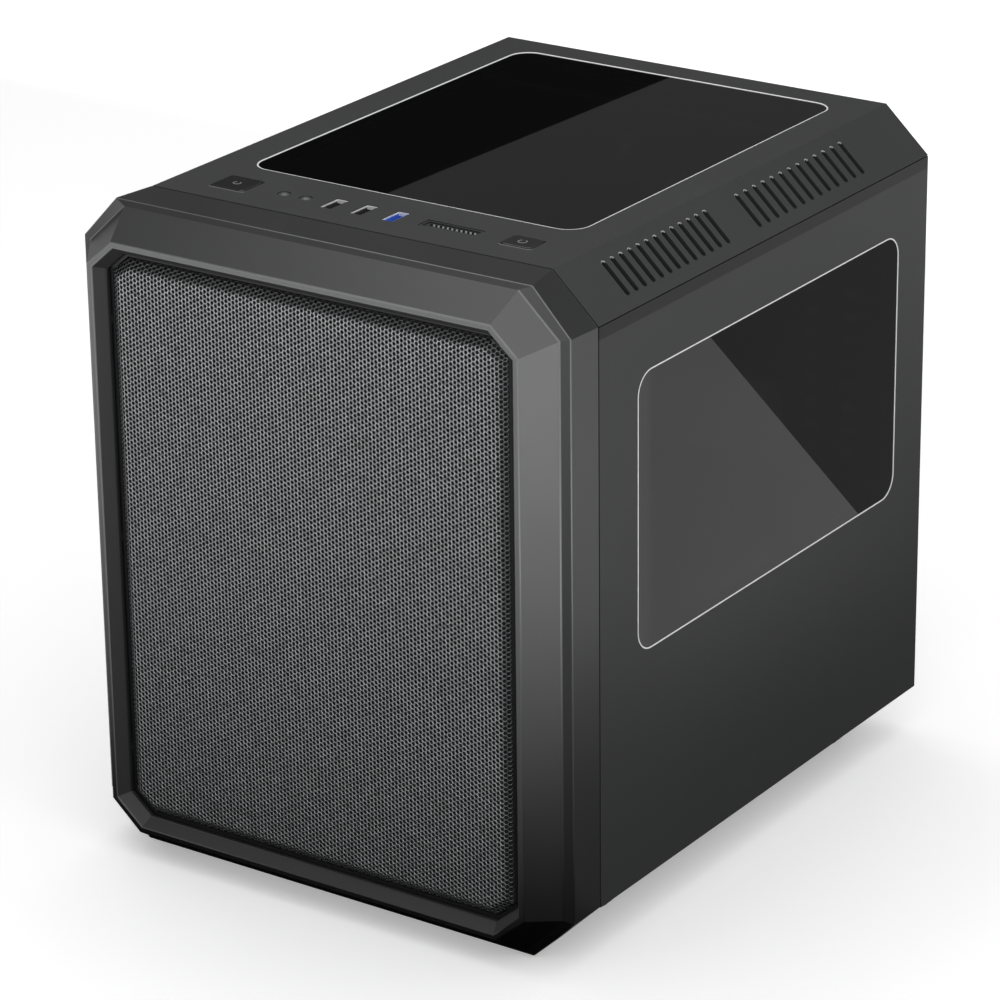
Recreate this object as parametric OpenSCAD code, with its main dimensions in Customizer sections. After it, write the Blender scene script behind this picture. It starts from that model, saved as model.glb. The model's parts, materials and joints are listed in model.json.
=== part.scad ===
/* [Case body] */
// Width across the two side panels
body_w = 260; // [240:1:320]
// Height of the side panels
side_h = 272; // [262:1:330]
// Depth from the bezel seam to the rear face
body_d = 283; // [274:1:360]
// Thickness of the sheet steel
sheet = 1; // [0.6:0.1:1.5]
// Gap left along the seams between the outer pieces
seam = 0.5; // [0.3:0.1:1]
// Gap between pieces that slide past each other
slip = 0.3; // [0.2:0.05:0.6]
// Gap under a piece that is screwed or clipped down
seat = 0.1; // [0.05:0.05:0.2]
// Width of the hem folded inwards round each side panel
hem = 9; // [6:0.5:12]

/* [Top cover] */
// Rise of the cover above the side panels
cover_rise = 22; // [18:0.5:30]
// Run of the cover's chamfer, in from each side
cover_run = 23; // [18:0.5:30]
// Wall of the moulded cover
cover_wall = 2.4; // [1.8:0.1:3]
// Width of the top window
window_w = 178; // [140:1:190]
// Depth of the top window, front to back
window_d = 222; // [160:1:222]
// Distance from the seam to the top window's front edge
window_y = 46; // [46:1:52]
// Corner radius of the windows
window_r = 11; // [6:0.5:16]
// Thickness of the top window
window_t = 3; // [2:0.25:4]
// Width of the ledge that carries the top window
ledge = 6; // [4:0.5:8]
// Width of one vent slot
vent_w = 3; // [2:0.25:4]
// Length of one vent slot down the chamfer
vent_len = 19; // [12:0.5:20]
// Slots in each group of vents
vent_count = 13; // [8:1:13]
// Distance from the seam to the first slot of the front group
vent_front_y = 31; // [30:0.5:34]
// Pitch of the slots in the front group
vent_front_pitch = 6.8; // [6:0.1:6.9]
// Distance from the seam to the first slot of the rear group
vent_rear_y = 139.5; // [139:0.5:144]
// Pitch of the slots in the rear group
vent_rear_pitch = 7.6; // [6.5:0.1:7.8]

/* [Front bezel] */
// Depth of the straight strip behind the bezel's edge
strip_d = 21; // [16:0.5:26]
// How far the bezel hangs below the side panels
bezel_drop = 20.7; // [16:0.1:24]
// Depth of the narrow bevel round the bezel's edge
edge_d = 1.6; // [1:0.1:3]
// Width of that bevel along the sides
edge_in = 4.7; // [2:0.1:6]
// Depth of the broad sloping band
band_d = 15.8; // [12:0.1:20]
// Width of the sloping band along the sides
band_in = 10.4; // [8:0.1:12]
// Width of the lip round the mesh opening
lip_w = 2.5; // [1.5:0.1:4]
// Depth of the funnel inside the lip
funnel_d = 5.7; // [4:0.1:8]
// How far the funnel runs in
funnel_in = 4; // [2:0.1:5]
// Wall of the moulded bezel
bezel_wall = 2.6; // [2:0.1:3.5]
// Radius of the six mounting posts
post_r = 3.5; // [3:0.1:3.8]
// Height of the lowest pair of posts
post_low_z = 30; // [26:1:40]

/* [Front mesh] */
// Depth of the mesh face behind the lip
mesh_recess = 4; // [2:0.1:6]
// Depth of the mesh's sloping flank
flank_d = 4; // [2:0.1:5]
// Width of that flank
flank_in = 5; // [3:0.1:6]
// Gap between the funnel and the mesh
mesh_gap = 1.6; // [0.6:0.1:2.5]
// Thickness of the mesh sheet
mesh_t = 0.8; // [0.5:0.1:1.2]
// Pitch of the hexagonal holes
mesh_pitch = 12.4; // [12:0.1:20]
// Width of the bars between the holes
mesh_bar = 2; // [1.5:0.1:4]
// Thickness of the dust net behind the mesh
liner_t = 1.6; // [1:0.1:2]

/* [Ports and buttons] */
// Distance from the seam to the row of ports and buttons
row_y = 22.4; // [20:0.1:24]
// Length and width of the power button
power_size = [18, 16.6]; // [14:0.2:20]
// Place of the power button across the case
power_x = -76.6; // [-80:0.1:-74]
// Length and width of the reset button
reset_size = [15.6, 12.4]; // [10:0.2:18]
// Place of the reset button across the case
reset_x = 76.8; // [74:0.1:80]
// Travel of the buttons
button_travel = 1.5; // [1:0.1:2]
// Places of the two indicator lamps
led_x = [-50.4, -38.5]; // [-54:0.1:-36]
// Radius of the indicator lamps
led_r = 2.8; // [1.5:0.1:3]
// Places of the two plain ports
usb2_x = [-23, -6.8]; // [-26:0.1:-4]
// Place of the fast port
usb3_x = 10.2; // [8:0.1:12]
// Long side of a port
usb_l = 13.1; // [12:0.1:14]
// Short side of a port
usb_w = 5.7; // [5:0.1:7]
// Place of the card reader
card_x = 39.8; // [38:0.1:42]
// Length and width of the card reader
card_size = [29.6, 8]; // [7:0.2:31]

/* [Side window] */
// Width of the side window
side_win_w = 226.4; // [160:1:230]
// Height of the side window
side_win_h = 131.4; // [90:1:132]
// Distance from the seam to the side window
side_win_y = 30.6; // [30:0.2:36]
// Distance from the panel's top edge down to the side window
side_win_drop = 30.3; // [24:0.1:36]
// Width of the flange behind the panel
win_flange = 9; // [7:0.5:9]

/* [Fans] */
// Size of the front fan's frame
front_fan = 140; // [120:20:140]
// Size of the rear fan's frame
rear_fan = 120; // [92:28:120]
// Depth of both fans
fan_d = 25; // [20:1:28]
// Blades on each rotor
blades = 7; // [5:1:9]
// Height of the rear fan's centre
rear_fan_z = 209; // [207:1:209]

/* [Inside] */
// Height of the motherboard tray
tray_z = 95; // [92:1:96]
// Width of the connector opening at the rear
io_w = 158.75; // [150:0.25:160]
// Height of the connector opening at the rear
io_h = 44.45; // [40:0.25:46]
// Gap between the tray's left flange and the nearest fixing holes
board_gap = 15.86; // [14.5:0.02:20]
// Depth of the drive cage, front to back
cage_d = 106; // [104:1:112]
// Width of the drive cage
cage_w = 164; // [156:1:180]

/* [Feet] */
// Clear height under the bezel
ground_gap = 1.3; // [0.5:0.1:4]
// Radius of the feet
foot_r = 15; // [12:0.5:17]
// Gap between the filter's rails and the feet
foot_gap = 1.8; // [1:0.1:4]

/* [Hidden] */
$fn = 48;
eps = 0.01;
half_w = body_w / 2;
top_z = side_h + cover_rise;
cover_z = side_h + seam;
floor_z = -bezel_drop - ground_gap;
flat_half = half_w - cover_run;
side_win_z = side_h - side_win_drop - side_win_h;

// Chassis: the steel frame stays inside the hems of the side panels
frame_half = half_w - hem - seam;
pan_z = sheet;
pan_top = pan_z + sheet;
front_y = sheet;
front_in = front_y + sheet;
rear_out = body_d - sheet - slip;
rear_in = rear_out - sheet;
flange = 12;
pan_wall_h = 14;
rail_top = side_h - sheet;
rail_h = 15;
rail_w = 16;
rail_front = front_in + seat;
rail_rear = rear_in - seat;

// Screws used in several places
m3_r = 1.5;
m3_clear = 1.8;
m3_head_r = 2.8;
m3_head_h = 1.8;
thread_gap = 0.05;

// Bezel: octagons [y, half width, top flat, side top, top, bottom flat, side bottom, bottom]
edge_top = 2.5;
edge_bottom = 2;
band_top = 11.6;
band_bottom = 10.5;
lip_y = -strip_d - edge_d - band_d;
bevel_y = -strip_d - edge_d;
sec_seam = [0, half_w, flat_half, cover_z, top_z, flat_half + 1.5, seam, -bezel_drop];
sec_edge = [-strip_d, half_w, flat_half + 4, side_h + 1.2, top_z - 0.5,
            flat_half + 1.5, seam, -bezel_drop];
sec_bevel = [bevel_y, half_w - edge_in, flat_half - 2, side_h, top_z - 0.5 - edge_top,
             flat_half - 2.4, seam + 1.6, edge_bottom - bezel_drop];
sec_lip = [lip_y, half_w - edge_in - band_in, flat_half - 6, side_h - 5,
           top_z - 0.5 - edge_top - band_top, flat_half - 7.4, seam + 4.9,
           edge_bottom + band_bottom - bezel_drop];
mitre = tan(22.5);
land_y = -30.6;
post_x = half_w - 18.4;
post_zs = [post_low_z, (post_low_z + side_h - 32) / 2, side_h - 32];
peg_r = post_r - 0.5;
peg_len = 6;
stub_r = post_r - 1.1;
stub_len = 1.2;

// Mesh: its sections follow the funnel
mesh_edge_in = lip_w + funnel_in + mesh_gap;
mesh_y = lip_y + mesh_recess;
flank_y = mesh_y + flank_d;
mesh_flange_in = lip_w - 4.8;

// Window frames and ports
win_recess = window_t + 0.5;
board_top = top_z - 15;
board_t = 1.6;
under = top_z - cover_wall;
boss_r = 4;
cover_boss_y = [18, 126.5, body_d - 31];
cover_boss_x = half_w - 18;
board_half = 93;
board_boss_x = [-89.7, -62, 62, 89.7];
board_boss_r = 2.4;
usb_wall = 0.35;
switch_h = 6;
switch_floor = 1;
stem_r = 1.8;
stem_gap = 1.4;

// Fans
function fan_holes(size) = size == 140 ? 124.5 : size == 120 ? 105 : 82.5;
front_fan_z = (side_h - 4) / 2;
shaft_r = 1.5;
fan_tip_gap = 1.2;
fan_wall = 1.8;
fan_flange = 4;
hub_ratio = 0.16;
fan_rim = 2.6;
fan_hole_r = 2.15;
fan_corner_r = 5;
bearing_z = 7;
rotor_gap = 1.5;
strut_w = 4;
fan_screw_len = 9;
fan_screw_r = 2;
fan_head_r = 3.6;
fan_head_h = 2;

// Motherboard fixing holes: three corners of a rectangle and one set in
tray_half = frame_half - sheet - slip;
board_span = [157.48, 154.94];
board_step = 22.86;
board_x = -tray_half + board_gap + board_span.x / 2;
board_rear_y = rear_in - 1.7 - 10.16;
standoff_h = 6.5;
standoff_stem_r = 1.6;
cable_slot_x = 96;
board_points = [
  [board_x - board_span.x / 2, board_rear_y - board_span.y],
  [board_x + board_span.x / 2, board_rear_y - board_span.y],
  [board_x - board_span.x / 2, board_rear_y - board_step],
  [board_x + board_span.x / 2, board_rear_y]
];

// Rear openings
io_z = tray_z + 5;
psu_h = 86;
psu_z = pan_top + 4 + psu_h / 2;
psu_span = [138, 64];
slot_pitch = 20.32;
slot_x = board_x + io_w / 2 + 16;
slot_z = tray_z + 9;
slot_h = 105;
slot_w = 13;
slot_screw_z = slot_z + slot_h + 5;
cover_half = 9;

// Drive cage
cage_y = front_in + seat + fan_d + 3;
cage_top = tray_z - seat;
cage_z = pan_top + seat;
runner_w = 6;
tray_pitch = 45;
runner_z = 4;

// Feet and the filter that slides under the floor
foot_y = [40, body_d - 37];
foot_top = pan_z - seat;
pad_t = 4;
pad_r = foot_r - 4;
foot_screw_len = 10;
foot_head_r = 4;
filter_w = 155;
filter_d = 145;
filter_t = 2.8;
filter_back = 20;
filter_y = body_d - filter_back - filter_d;
rail_lip = 4;
rail_wall = 1.4;
foot_x = max(filter_w / 2 + slip + rail_wall + foot_gap + foot_r,
             cage_w / 2 + foot_head_r + foot_gap);

// Thumbscrews
thumb_x = half_w - 17;
thumb_z = [30, side_h - 32];
thumb_len = 8;
thumb_head_r = 6;
thumb_r = 1.75;
rear_flange = 20;

// The origin is on the floor, below the middle of the whole case
y_mid = (body_d + thumb_len + lip_y) / 2;

module placed() {
  translate([0, -y_mid, -floor_z]) children();
}

module both_sides() {
  children();
  mirror([1, 0, 0]) children();
}

// A block given by its low and high corners
module block(low, high) {
  translate(low) cube(high - low);
}

// A rectangle with round corners, centred on the origin
module round_rect(size, r) {
  square([size.x - 2 * r, size.y], center = true);
  square([size.x, size.y - 2 * r], center = true);
  for (sx = [-1, 1], sy = [-1, 1])
    translate([sx * (size.x / 2 - r), sy * (size.y / 2 - r)]) circle(r);
}

// Extrude a flat shape drawn in X and Z along +Y
module along_y(y, depth) {
  translate([0, y + depth, 0]) rotate([90, 0, 0]) linear_extrude(depth) children();
}

// Extrude a flat shape drawn in Y and Z along +X
module along_x(x, depth) {
  translate([x, 0, 0]) rotate([90, 0, 90]) linear_extrude(depth) children();
}

module rod_y(x, z, y, len, r) {
  translate([x, y, z]) rotate([-90, 0, 0]) cylinder(h = len, r = r);
}

// Octagon in X and Z for one section
function ring(s) = [
  [s[1], s[6]], [s[1], s[3]], [s[2], s[4]], [-s[2], s[4]],
  [-s[1], s[3]], [-s[1], s[6]], [-s[5], s[7]], [s[5], s[7]]
];

// The same section moved to y and drawn in by t on every side
function drawn_in(s, t, y) = [
  y, s[1] - t, s[2] - t * mitre, s[3] - t * mitre, s[4] - t,
  s[5] - t * mitre, s[6] + t * mitre, s[7] + t
];

// Solid through a list of sections, front first
module loft(sections) {
  n = 8;
  last = len(sections) - 1;
  points = [for (s = sections) for (p = ring(s)) [p[0], s[0], p[1]]];
  sides = [for (i = [0:last - 1]) for (j = [0:n - 1])
    [i * n + j, i * n + (j + 1) % n, (i + 1) * n + (j + 1) % n, (i + 1) * n + j]];
  front = [for (j = [n - 1:-1:0]) j];
  back = [for (j = [0:n - 1]) last * n + j];
  polyhedron(points, concat([front, back], sides), convexity = 6);
}

// Section of the cover drawn in by t, with its side walls carried down by drop
module cover_profile(t, drop) {
  slant = 1.4;
  right = concat(drop > 0 ? [[half_w - t * slant, cover_z - drop]] : [],
                 [[half_w - t * slant, cover_z], [flat_half - t * mitre, top_z - t]]);
  count = len(right);
  polygon(concat(right, [for (i = [count - 1:-1:0]) [-right[i].x, right[i].y]]));
}

module vent_slot(y) {
  slope = atan2(top_z - cover_z, cover_run);
  translate([half_w - cover_run / 2, y, (cover_z + top_z) / 2])
    rotate([0, slope, 0])
      translate([0, 0, -4 * cover_wall])
        linear_extrude(8 * cover_wall) {
          square([vent_len - vent_w, vent_w], center = true);
          for (s = [-1, 1]) translate([s * (vent_len - vent_w) / 2, 0]) circle(vent_w / 2, $fn = 24);
        }
}

module port_hole(x, size) {
  translate([x, row_y, top_z - 2 * cover_wall])
    linear_extrude(4 * cover_wall) square([size.x + 2 * slip, size.y + 2 * slip], center = true);
}

module top_cover() {
  win_mid = window_y + window_d / 2;
  color("#303133") placed()
    difference() {
      union() {
        difference() {
          along_y(seam, body_d - seam) cover_profile(0, 0);
          along_y(seam + cover_wall, body_d - seam - 2 * cover_wall) cover_profile(cover_wall, 1);
        }
        translate([0, win_mid, under - win_recess])
          linear_extrude(win_recess) difference() {
            round_rect([window_w + 8, window_d + 5], window_r);
            round_rect([window_w - 2 * ledge, window_d - 2 * ledge], window_r - 3);
          }
        intersection() {
          along_y(seam, body_d - seam) cover_profile(cover_wall / 2, 2 * boss_r);
          both_sides() for (y = cover_boss_y)
            translate([cover_boss_x, y, rail_top + seat]) cylinder(h = cover_rise, r = boss_r);
        }
        for (x = board_boss_x)
          translate([x, row_y, board_top + seat]) cylinder(h = under - board_top, r = board_boss_r);
      }
      translate([0, win_mid, top_z - win_recess])
        linear_extrude(2 * win_recess)
          round_rect([window_w + 2 * slip, window_d + 2 * slip], window_r + slip);
      translate([0, win_mid, under - 2 * win_recess])
        linear_extrude(4 * win_recess)
          round_rect([window_w - 2 * ledge, window_d - 2 * ledge], window_r - 3);
      both_sides() for (i = [0:vent_count - 1]) {
        vent_slot(vent_front_y + i * vent_front_pitch);
        vent_slot(vent_rear_y + i * vent_rear_pitch);
      }
      port_hole(power_x, power_size);
      port_hole(reset_x, reset_size);
      for (x = usb2_x) port_hole(x, [usb_w, usb_l]);
      port_hole(usb3_x, [usb_w, usb_l]);
      port_hole(card_x, card_size);
      for (x = led_x)
        translate([x, row_y, under - 1]) cylinder(h = 2 * cover_wall, r = led_r + slip);
      both_sides() for (y = cover_boss_y)
        translate([cover_boss_x, y, rail_top]) cylinder(h = 10, r = m3_r + thread_gap);
      for (x = board_boss_x)
        translate([x, row_y, board_top]) cylinder(h = 8, r = 1 + thread_gap);
    }
}

module top_window() {
  color([0.1, 0.1, 0.11, 0.9]) placed()
    translate([0, window_y + window_d / 2, top_z - win_recess + seat])
      linear_extrude(window_t) round_rect([window_w, window_d], window_r);
}

module cover_screws() {
  color("silver") placed()
    both_sides() for (y = cover_boss_y) translate([cover_boss_x, y, 0]) {
      translate([0, 0, rail_top - sheet - seat - m3_head_h]) cylinder(h = m3_head_h, r = m3_head_r);
      translate([0, 0, rail_top - sheet - seat - eps]) cylinder(h = 8, r = m3_r);
    }
}

module front_bezel() {
  color("#2e2f31") placed() {
    difference() {
      loft([sec_lip, sec_bevel, sec_edge, sec_seam]);
      loft([
        drawn_in(sec_lip, lip_w - funnel_in / funnel_d, lip_y - 1),
        drawn_in(sec_lip, lip_w + funnel_in, lip_y + funnel_d),
        drawn_in(sec_lip, lip_w + funnel_in, land_y),
        drawn_in(sec_lip, -bezel_wall, land_y),
        drawn_in(sec_bevel, bezel_wall, bevel_y + 0.6),
        drawn_in(sec_seam, bezel_wall, 1)
      ]);
      both_sides() for (z = post_zs)
        rod_y(post_x, z, land_y - stub_len, 2 * stub_len, stub_r + thread_gap);
    }
  }
}

// Pins set into the bezel's land, which pass the mesh and plug into the front panel
module bezel_pins() {
  color("#1c1c1e") placed()
    both_sides() for (z = post_zs) {
      rod_y(post_x, z, land_y - stub_len + seat, stub_len, stub_r);
      rod_y(post_x, z, land_y + eps, front_y - seat - land_y - eps, post_r);
      rod_y(post_x, z, front_y - seat - eps, peg_len, peg_r);
    }
}

module hex_holes(low, high) {
  step_x = mesh_pitch * sqrt(3) / 2;
  hole_r = (mesh_pitch - mesh_bar) / sqrt(3);
  columns = floor((high.x - low.x - 2 * hole_r) / step_x / 2);
  rows = floor((high.y - low.y - 2 * hole_r) / mesh_pitch);
  mid = (low.y + high.y) / 2;
  for (i = [-columns:columns]) {
    odd = abs(i) % 2;
    for (j = [0:rows - odd])
      translate([i * step_x, mid + (j - (rows - odd) / 2) * mesh_pitch])
        circle(hole_r, $fn = 6);
  }
}

module front_mesh() {
  face = drawn_in(sec_lip, mesh_edge_in + flank_in, mesh_y);
  rim = drawn_in(sec_lip, mesh_edge_in, flank_y);
  margin = 4;
  color("#3c3d40") placed()
    difference() {
      union() {
        loft([face, rim, drawn_in(sec_lip, mesh_edge_in, land_y + seat + mesh_t)]);
        along_y(land_y + seat, mesh_t) polygon(ring(drawn_in(sec_lip, mesh_flange_in, 0)));
      }
      loft([
        drawn_in(face, mesh_t * 0.6, mesh_y + mesh_t),
        drawn_in(rim, mesh_t * 1.1, flank_y + mesh_t * 0.6),
        drawn_in(rim, mesh_t * 1.1, 0)
      ]);
      along_y(mesh_y - 1, 3)
        hex_holes([-face[1] + margin, face[7] + margin], [face[1] - margin, face[4] - margin]);
      both_sides() for (z = post_zs) rod_y(post_x, z, land_y - 1, 3, post_r + slip);
    }
}

// Fine dust net that lies in the mesh's hollow
module mesh_liner() {
  face = drawn_in(sec_lip, mesh_edge_in + flank_in + mesh_t * 0.6 + seat, mesh_y);
  color("#101011") placed()
    along_y(mesh_y + mesh_t + seat, liner_t) polygon(ring(face));
}

module mesh_push_nuts() {
  color("silver") placed()
    both_sides() for (z = post_zs)
      difference() {
        rod_y(post_x, z, land_y + mesh_t + 2 * seat, 0.6, post_r + 2);
        rod_y(post_x, z, land_y, 3, post_r + thread_gap);
      }
}

module front_panel() {
  span = fan_holes(front_fan) / 2;
  color("#26272a") placed() {
    difference() {
      block([-frame_half, front_y, pan_top + seat], [frame_half, front_in, rail_top]);
      rod_y(0, front_fan_z, front_y - 1, 3, front_fan / 2 - 3);
      for (sx = [-1, 1], sz = [-1, 1])
        rod_y(sx * span, front_fan_z + sz * span, front_y - 1, 3, 2.2);
      both_sides() for (z = post_zs) rod_y(post_x, z, front_y - 1, 3, peg_r + slip);
    }
    both_sides()
      block([frame_half - sheet, front_in - eps, pan_wall_h + pan_top + seam],
            [frame_half, front_in + flange, rail_top - rail_h - seam]);
    block([-frame_half + rail_w + seam, front_in - eps, rail_top - sheet],
          [frame_half - rail_w - seam, front_in + flange, rail_top]);
  }
}

// Opening for the supply's face, stepped in round its four screw ears
module psu_outline() {
  long_half = 74;
  ear_in = 63;
  ear_in_upper = 38;
  high = 39;
  low = 25;
  translate([0, psu_z]) polygon([
    [-ear_in, -high], [ear_in, -high], [ear_in, -low], [long_half, -low], [long_half, low],
    [ear_in_upper, low], [ear_in_upper, high], [-ear_in, high], [-ear_in, low],
    [-long_half, low], [-long_half, -low], [-ear_in, -low]
  ]);
}

// Openings between the rings and spokes of a fan guard
module fan_grille(r) {
  rings = 5;
  ring_half = 1.1;
  spoke_w = 3;
  difference() {
    circle(r);
    for (q = [1:rings - 1]) difference() {
      circle(r * q / rings + ring_half);
      circle(r * q / rings - ring_half);
    }
    circle(r / rings);
    for (a = [45, 135]) rotate(a) square([2 * r + 2, spoke_w], center = true);
  }
}

module rear_panel() {
  span = fan_holes(rear_fan) / 2;
  color("#26272a") placed() {
    difference() {
      block([-frame_half, rear_in, pan_top + seat], [frame_half, rear_out, rail_top]);
      along_y(rear_in - 1, 3) {
        translate([board_x, io_z + io_h / 2]) round_rect([io_w, io_h], 1);
        psu_outline();
        translate([board_x, rear_fan_z]) fan_grille(rear_fan / 2 - 3);
        for (i = [0, 1])
          translate([slot_x + i * slot_pitch, slot_z + slot_h / 2]) round_rect([slot_w, slot_h], 1);
      }
      for (sx = [-1, 1], sz = [-1, 1])
        rod_y(board_x + sx * span, rear_fan_z + sz * span, rear_in - 1, 3, 2.2);
      for (i = [0, 1])
        rod_y(slot_x + i * slot_pitch, slot_screw_z, rear_in - 1, 3, m3_clear);
      for (sx = [-1, 1]) rod_y(sx * psu_span.x / 2, psu_z - psu_span.y / 2, rear_in - 1, 3, 2);
      rod_y(-psu_span.x / 2, psu_z + psu_span.y / 2, rear_in - 1, 3, 2);
      rod_y(psu_span.x / 2 - 24, psu_z + psu_span.y / 2, rear_in - 1, 3, 2);
      both_sides() for (z = thumb_z) rod_y(thumb_x, z, rear_in - 1, 3, thumb_r + slip);
    }
    both_sides()
      block([frame_half - sheet, rear_in - flange, pan_wall_h + pan_top + seam],
            [frame_half, rear_in + eps, rail_top - rail_h - seam]);
    block([-frame_half + rail_w + seam, rear_in - flange, rail_top - sheet],
          [frame_half - rail_w - seam, rear_in + eps, rail_top]);
  }
}

module side_rail() {
  difference() {
    union() {
      block([frame_half - sheet, rail_front, rail_top - rail_h], [frame_half, rail_rear, rail_top]);
      block([frame_half - rail_w, rail_front, rail_top - sheet], [frame_half, rail_rear, rail_top]);
      for (y = [rail_front, rail_rear - sheet])
        block([frame_half - rail_w, y, rail_top - rail_h], [frame_half, y + sheet, rail_top]);
    }
    for (y = cover_boss_y)
      translate([cover_boss_x, y, rail_top - 2]) cylinder(h = 3, r = m3_clear);
  }
}

module left_rail() {
  color("#2b2c2f") placed() mirror([1, 0, 0]) side_rail();
}

module right_rail() {
  color("#2b2c2f") placed() side_rail();
}

module base_pan() {
  vents = 10;
  color("#26272a") placed()
    difference() {
      union() {
        block([-frame_half, front_y, pan_z], [frame_half, rear_out, pan_top]);
        both_sides()
          block([frame_half - sheet, front_in + seat, pan_z],
                [frame_half, rear_in - seat, pan_top + pan_wall_h]);
      }
      for (i = [0:vents - 1])
        translate([(i - (vents - 1) / 2) * 12, filter_y + filter_d / 2, pan_z - 1])
          linear_extrude(3) round_rect([6, filter_d - 30], 2.9);
      both_sides() for (y = foot_y) translate([foot_x, y, pan_z - 1]) cylinder(h = 3, r = 2.3);
    }
}

module motherboard_tray() {
  tray_front = cage_y + cage_d - 50;
  cooler_cut = [96, 84];
  cable_slot = [18, 60];
  lip = 4;
  color("#303236") placed()
    difference() {
      union() {
        block([-tray_half, tray_front, tray_z], [tray_half, rear_in - seat, tray_z + sheet]);
        both_sides()
          block([tray_half - sheet, tray_front, tray_z - flange],
                [tray_half, rear_in - seat, tray_z + sheet]);
        block([-tray_half, rear_in - seat - sheet, tray_z - lip], [tray_half, rear_in - seat, tray_z]);
      }
      translate([board_x, board_rear_y - board_span.y / 2 - 4, tray_z - 1])
        linear_extrude(3) round_rect(cooler_cut, 8);
      both_sides() translate([cable_slot_x, tray_front + 80, tray_z - 1])
        linear_extrude(3) round_rect(cable_slot, 6);
      for (p = board_points)
        translate([p.x, p.y, tray_z - 1]) cylinder(h = 3, r = standoff_stem_r + thread_gap);
    }
}

module standoffs() {
  thread_r = 1.35;
  floor_t = 1;
  color("goldenrod") placed()
    for (p = board_points) translate([p.x, p.y, tray_z + sheet]) difference() {
      union() {
        translate([0, 0, seat]) cylinder(h = standoff_h - seat, r = 3, $fn = 6);
        translate([0, 0, -sheet]) cylinder(h = sheet + seat + eps, r = standoff_stem_r);
      }
      translate([0, 0, floor_t]) cylinder(h = standoff_h, r = thread_r);
    }
}

module psu_pads() {
  pad = [16, 20, 3.5];
  inset = 7;
  rear_gap = 18;
  apart = 90;
  across = psu_span.x / 2 - inset;
  rear = rear_in - rear_gap - pad.y / 2;
  color("#1a1a1a") placed()
    for (x = [-across, across], y = [rear - apart, rear])
      block([x - pad.x / 2, y - pad.y / 2, pan_top + seat], [x + pad.x / 2, y + pad.y / 2, pan_top + pad.z]);
}

module drive_cage() {
  half = cage_w / 2;
  window = [28, 16];
  color("#2b2c2f") placed()
    difference() {
      union() {
        difference() {
          block([-half, cage_y, cage_z], [half, cage_y + cage_d, cage_top]);
          block([-half - 1, cage_y + sheet, cage_z + sheet],
                [half + 1, cage_y + cage_d - sheet, cage_top - sheet]);
        }
        for (i = [0, 1], y = [cage_y, cage_y + cage_d - runner_w])
          block([-half, y, cage_z + runner_z + i * tray_pitch],
                [half, y + runner_w, cage_z + runner_z + sheet + i * tray_pitch]);
      }
      for (i = [0, 1], k = [-1.5:1:1.5])
        translate([k * (window.x + 8), 0, cage_z + window.y + runner_z + i * tray_pitch])
          along_y(cage_y - 1, cage_d + 2) round_rect(window, 4);
    }
}

module drive_tray(level) {
  half = cage_w / 2 - 2;
  wall = 2;
  tray_h = 22;
  front_t = 4;
  low = cage_z + runner_z + sheet + slip + level * tray_pitch;
  y0 = cage_y + sheet + slip;
  y1 = cage_y + cage_d - sheet - slip;
  slots = [26, 60];
  grip = [40, 9];
  color("#3a3b3e")
    difference() {
      block([-half + front_t, y0, low], [half, y1, low + tray_h]);
      block([-half - 1, y0 + wall, low + wall], [half - front_t, y1 - wall, low + tray_h + 1]);
      for (x = [-45, 0, 45])
        translate([x, (y0 + y1) / 2, low - 1]) linear_extrude(2 * wall) round_rect(slots, 5);
      translate([half - front_t - 1, (y0 + y1) / 2, low + tray_h / 2 + 1])
        rotate([90, 0, 90]) linear_extrude(2 * front_t) round_rect(grip, 4);
    }
}

module drive_tray_lower() {
  placed() drive_tray(0);
}

module drive_tray_upper() {
  placed() drive_tray(1);
}

module slot_covers() {
  plate_t = 0.8;
  rows = 8;
  color("silver") placed()
    for (i = [0, 1])
      difference() {
        block([slot_x + i * slot_pitch - cover_half, rear_in - seat - plate_t, slot_z - 3],
              [slot_x + i * slot_pitch + cover_half, rear_in - seat, slot_screw_z + 4]);
        rod_y(slot_x + i * slot_pitch, slot_screw_z, rear_in - 3, 4, m3_r + thread_gap);
        for (k = [1:rows])
          translate([slot_x + i * slot_pitch, 0, slot_z + k * slot_h / (rows + 1)])
            along_y(rear_in - 3, 4) round_rect([8, 4], 1.9);
      }
}

module slot_cover_screws() {
  thread = 4;
  color("silver") placed()
    for (i = [0, 1]) {
      rod_y(slot_x + i * slot_pitch, slot_screw_z, rear_out + seat, m3_head_h, m3_head_r);
      rod_y(slot_x + i * slot_pitch, slot_screw_z, rear_in - thread, thread + sheet + 2 * seat, m3_r);
    }
}

module feet() {
  low = floor_z + pad_t / 2;
  color("#1c1c1e") placed()
    both_sides() for (y = foot_y) translate([foot_x, y, 0]) difference() {
      rotate_extrude($fn = 64) polygon([
        [0, low], [foot_r - 2, low], [foot_r - 1, low + 1], [foot_r, foot_top - 3],
        [foot_r, foot_top], [0, foot_top]
      ]);
      translate([0, 0, low - 1]) cylinder(h = 1 + pad_t / 2 + seat, r = pad_r + slip, $fn = 64);
      translate([0, 0, foot_top - foot_screw_len]) cylinder(h = foot_screw_len + 1, r = 2);
    }
}

module foot_pads() {
  color("#101010") placed()
    both_sides() for (y = foot_y) translate([foot_x, y, floor_z]) cylinder(h = pad_t, r = pad_r, $fn = 64);
}

module foot_screws() {
  color("silver") placed()
    both_sides() for (y = foot_y) translate([foot_x, y, pan_top + seat]) {
      cylinder(h = 2.2, r = foot_head_r);
      translate([0, 0, -8]) cylinder(h = 8 + eps, r = 1.9);
    }
}

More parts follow.
